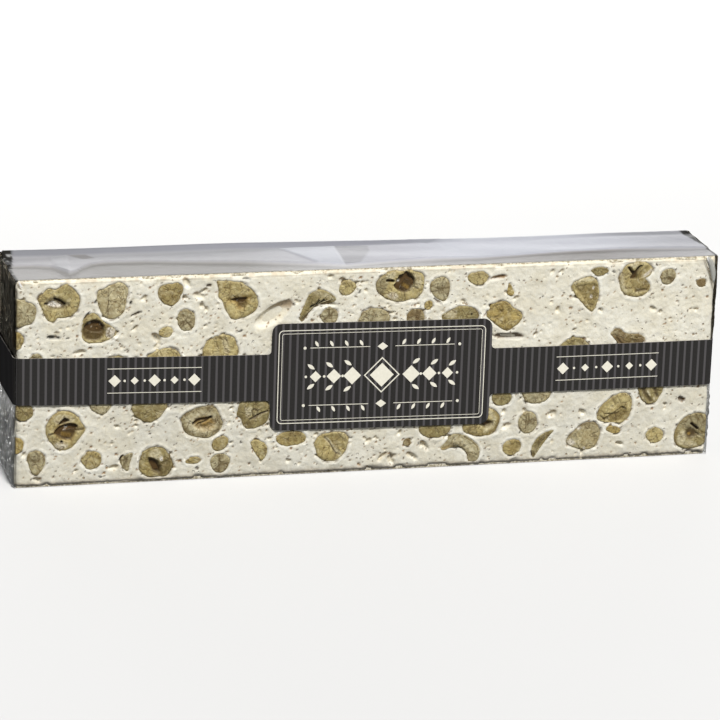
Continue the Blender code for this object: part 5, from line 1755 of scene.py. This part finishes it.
def film_sections():
    """The film's section round the four long sides, as y and z: the top, and then the rest."""
    half_y = HALF_THICKNESS + FILM_GAP
    straight_y = half_y - FILM_CORNER
    count = round(2 * straight_y / FILM_CELL)
    top = [(half_y, BAR_HEIGHT - FILM_WRAP + FILM_CORNER * step) for step in range(4)]
    top += [
        (straight_y + FILM_CORNER * math.sin(math.radians(22.5 * step)),
         BAR_HEIGHT - FILM_CORNER + FILM_CORNER * math.cos(math.radians(22.5 * step)))
        for step in range(4, 0, -1)
    ]
    top += [(straight_y - 2 * straight_y * step / count, BAR_HEIGHT) for step in range(count + 1)]
    corners = []
    high_z = BAR_HEIGHT - FILM_CORNER
    low_z = FILM_FOOT + FILM_CORNER
    for middle_y, middle_z, start in (
        (-straight_y, high_z, 90), (-straight_y, low_z, 180), (straight_y, low_z, 270),
    ):
        for step in range(5):
            angle = math.radians(start + 90 * step / 4)
            corners.append((middle_y + FILM_CORNER * math.cos(angle),
                            middle_z + FILM_CORNER * math.sin(angle)))
    corners.append(top[0])
    rest = []
    for (y, z), (after_y, after_z) in zip(corners, corners[1:]):
        count = max(1, round(math.hypot(after_y - y, after_z - z) / FILM_SIDE_CELL))
        for step in range(count):
            share = step / count
            rest.append((y + (after_y - y) * share, z + (after_z - z) * share))
    return top, rest + [corners[-1]]


def grid_faces(rows, columns):
    """Quads between the points of a grid that is given row by row."""
    faces = []
    for row in range(rows - 1):
        for here in range(row * columns, (row + 1) * columns - 1):
            faces.append((here, here + 1, here + columns + 1, here + columns))
    return faces


def film_strip(name, section, material, tinted):
    """A sheet of film along the whole bar from its section."""
    stations = np.linspace(-FILM_END, FILM_END, FILM_STATIONS)
    ring = np.array(section)
    points = np.empty((len(stations), len(ring), 3))
    points[..., 0] = stations[:, None]
    points[..., 1:] = ring
    height, tone = top_film(points[..., 0], points[..., 1])
    points[..., 2] += height * smooth_step(points[..., 2], BAR_HEIGHT - FILM_RISE_FROM, BAR_HEIGHT)
    faces = grid_faces(len(stations), len(ring))
    colours = tone.reshape(-1, 3) if tinted else None
    ride(make_piece(name, points.reshape(-1, 3), faces, material, colours), "film")


def make_sleeve():
    """The clear film over the four long sides, loose and folded on top and tight elsewhere."""
    top, rest = film_sections()
    film_strip("film_top", top, materials["top_film"], True)
    film_strip("film_sleeve", rest, materials["film"], False)


def make_creases():
    """Low ribs of film, tapered to both ends, along curves over the front face's corners."""
    points = []
    faces = []
    colours = []
    for crease in CREASES:
        knots = np.array(crease.points)
        along = np.linspace(0, len(knots) - 1, CREASE_STEPS)
        path = np.stack([np.interp(along, range(len(knots)), knots[:, axis]) for axis in (0, 1)], -1)
        run = np.gradient(path, axis=0)
        run /= np.linalg.norm(run, axis=1)[:, None]
        start = len(points)
        for (x, z), (run_x, run_z), share in zip(path, run, np.linspace(0, 1, CREASE_STEPS)):
            half = 0.5 * crease.width * math.sin(math.pi * (0.06 + 0.88 * share)) ** 0.7
            for side in range(CREASE_SIDES):
                angle = 2 * math.pi * side / CREASE_SIDES
                across = half * math.cos(angle)
                out = FILM_GAP + 0.1 + CREASE_BULGE * half * math.sin(angle)
                points.append((x - run_z * across, -HALF_THICKNESS - out, z + run_x * across))
                colours.append(crease.tone)
        for step in range(CREASE_STEPS - 1):
            for side in range(CREASE_SIDES):
                here = start + step * CREASE_SIDES + side
                after = start + step * CREASE_SIDES + (side + 1) % CREASE_SIDES
                faces.append((here, here + CREASE_SIDES, after + CREASE_SIDES, after))
        last = start + (CREASE_STEPS - 1) * CREASE_SIDES
        faces.append(tuple(start + side for side in range(CREASE_SIDES)))
        faces.append(tuple(last + side for side in reversed(range(CREASE_SIDES))))
    ride(make_piece("film_creases", points, faces, materials["film_crease"], np.array(colours)), "film")


def make_film_end(side):
    """The folded film over one sawn end: tucks from the sides, flaps over them, all crumpled."""
    name = "left" if side < 0 else "right"
    half_y = HALF_THICKNESS + FOLDED_MARGIN
    seed = FOLDED_SEED + side
    across = np.linspace(-half_y, half_y, FOLDED_COLUMNS)
    up = np.linspace(0.0, BAR_HEIGHT, FOLDED_ROWS)
    grid_across, grid_up = np.meshgrid(across, up)
    from_side = half_y - np.abs(grid_across)
    from_end = np.minimum(grid_up, BAR_HEIGHT - grid_up)
    folds = 0.2 * smooth_step(from_side - 0.9 * from_end, 0.3, -0.3)
    folds += 0.12 * smooth_step(from_side - 4.0 - 0.25 * from_end, 0.3, -0.3)
    places = np.stack((grid_across, grid_up, np.zeros_like(grid_up)), -1)
    high = smooth_step(grid_up, *FOLDED_CHANGE)
    stretched = noise_field(places * (1, 0.22, 1), 2.2, seed)
    wrinkled = noise_field(places * (0.45, 1, 1), 1.6, seed + 2)
    crumple = np.abs(stretched) * high + np.abs(wrinkled) * (1 - high)
    crumple += 0.4 * np.abs(noise_field(places, 1.1, seed + 4))
    from_band = np.abs(grid_up - band_middle(side * BAND_REACH)) - BAND_HEIGHT / 2
    loose = smooth_step(from_band, 0.6, 4.0)
    rim = smooth_step(np.minimum(from_side, from_end), 0.0, 1.0)
    reach = FOLDED_NEAREST + (folds + 0.6 * crumple) * loose * (0.2 + 0.8 * rim)
    reach = np.clip(reach, FOLDED_NEAREST, 0.38 + 0.7 * loose)
    # Painted shade: dark streaky tints above the band, and lighter and darker tints along the wrinkles
    # below it
    streaks = smooth_step(noise_field(places * (1, 0.15, 1), 1.5, seed + 6), -0.2, 0.5)
    dim = smooth_step(noise_field(places * (1, 0.3, 1), 1.4, seed + 8), -0.1, 0.4)
    tone = blend(tints(LOWER_TINTS, dim), tints(UPPER_SHADE_TINTS, streaks), high)
    height, _ = top_film(np.full_like(grid_up, side * HALF_LENGTH), grid_across)
    grid_up = grid_up + height * smooth_step(grid_up, BAR_HEIGHT - FILM_RISE_FROM, BAR_HEIGHT)
    outer = np.stack((side * (HALF_LENGTH + reach), grid_across, grid_up), -1)
    inner = np.stack((side * (HALF_LENGTH + reach - FOLDED_THICKNESS), grid_across, grid_up), -1)
    rows, columns = grid_across.shape
    points = np.vstack((outer.reshape(-1, 3), inner.reshape(-1, 3)))
    colours = np.vstack((tone.reshape(-1, 3), tone.reshape(-1, 3)))
    shift = rows * columns
    faces = grid_faces(rows, columns)
    faces += [tuple(corner + shift for corner in reversed(quad)) for quad in faces]
    border = list(range(columns))
    border += [row * columns + columns - 1 for row in range(1, rows)]
    border += [(rows - 1) * columns + column for column in range(columns - 2, -1, -1)]
    border += [row * columns for row in range(rows - 2, 0, -1)]
    for here, there in zip(border, border[1:] + border[:1]):
        faces.append((there, here, here + shift, there + shift))
    if side < 0:
        faces = [tuple(reversed(quad)) for quad in faces]
    piece = make_piece(f"folded_film_{name}", points, faces, materials["folded_film"], colours)
    ride(piece, "film", f"film_end_{name}")


def dress(node, material):
    """Gives a CAD node that stays in the picture its material."""
    for material_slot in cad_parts[node].material_slots:
        material_slot.material = material


def make_floor():
    sides = ((-1, -1), (1, -1), (1, 1), (-1, 1))
    corners = [(x * FLOOR_HALF, y * FLOOR_HALF, -FLOOR_DROP) for x, y in sides]
    floor = make_piece("floor", corners, [(0, 1, 2, 3)], materials["floor"], smooth=False)
    floor.visible_diffuse = False
    floor.visible_glossy = False


def aim(thing, place, target, roll=0.0):
    """Puts a lamp or a camera at a place in millimetres and turns it towards another."""
    back = (Vector(place) - Vector(target)).normalized()
    across = Vector((0, 0, 1)).cross(back).normalized()
    upward = back.cross(across)
    turn = math.radians(roll)
    right = across * math.cos(turn) + upward * math.sin(turn)
    above = upward * math.cos(turn) - across * math.sin(turn)
    matrix = Matrix((right, above, back)).transposed().to_4x4()
    matrix.translation = Vector(place) * MM
    thing.matrix_world = matrix


def make_lamp(name, kind, place, target, power):
    """A lamp that shines from a place towards another. Returns its settings."""
    data = bpy.data.lights.new(name, kind)
    data.energy = power
    lamp = bpy.data.objects.new(name, data)
    bpy.context.scene.collection.objects.link(lamp)
    aim(lamp, place, target)
    return data


def make_camera():
    data = bpy.data.cameras.new("camera")
    data.sensor_width = CAMERA_SENSOR
    data.lens = CAMERA_LENS
    data.clip_start, data.clip_end = CAMERA_CLIP
    camera = bpy.data.objects.new("camera", data)
    bpy.context.scene.collection.objects.link(camera)
    azimuth = math.radians(CAMERA_AZIMUTH)
    elevation = math.radians(CAMERA_ELEVATION)
    back = Vector((
        math.sin(azimuth) * math.cos(elevation),
        -math.cos(azimuth) * math.cos(elevation),
        math.sin(elevation),
    ))
    target = Vector(CAMERA_TARGET)
    aim(camera, target + back * CAMERA_DISTANCE, target, CAMERA_ROLL)
    bpy.context.scene.camera = camera


def make_light():
    world = bpy.data.worlds.new("studio")
    world.use_nodes = True
    background = world.node_tree.nodes["Background"]
    background.inputs["Color"].default_value = (*SKY, 1.0)
    background.inputs["Strength"].default_value = SKY_STRENGTH
    bpy.context.scene.world = world
    sun = make_lamp("key", "SUN", SUN_PLACE, (0, 0, 0), SUN_STRENGTH)
    sun.angle = math.radians(SUN_WIDTH)
    sun.color = SUN_COLOUR
    for lamp in LAMPS:
        data = make_lamp(lamp.name, "AREA", lamp.place, lamp.target, lamp.power)
        data.shape = "RECTANGLE"
        data.size, data.size_y = (side * MM for side in lamp.size)
    bpy.context.scene.view_settings.view_transform = "Standard"


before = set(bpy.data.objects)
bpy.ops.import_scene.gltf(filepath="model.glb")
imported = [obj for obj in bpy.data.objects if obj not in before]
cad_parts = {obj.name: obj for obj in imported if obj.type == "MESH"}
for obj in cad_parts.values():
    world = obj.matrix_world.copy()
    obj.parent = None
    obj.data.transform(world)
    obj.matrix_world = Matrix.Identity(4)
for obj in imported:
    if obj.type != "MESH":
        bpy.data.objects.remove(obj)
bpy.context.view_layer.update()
materials = {
    "nougat": nougat_material(),
    "hazelnut": hazelnut_material(),
    "wafer": wafer_material(),
    "film": film_material(),
    "top_film": top_film_material(),
    "folded_film": folded_film_material(),
    "film_crease": crease_material(),
    "band": band_material(),
    "print": print_material(),
    "floor": floor_material(),
}
make_camera()
make_light()
make_floor()
nut_outlines = make_nuts()
chip_outlines = make_chips()
make_nougat(nut_outlines + chip_outlines)
dress("wafer_top", materials["wafer"])
dress("wafer_bottom", materials["wafer"])
dress("band", materials["band"])
make_print()
make_sleeve()
make_creases()
for end_side in (-1, 1):
    make_film_end(end_side)
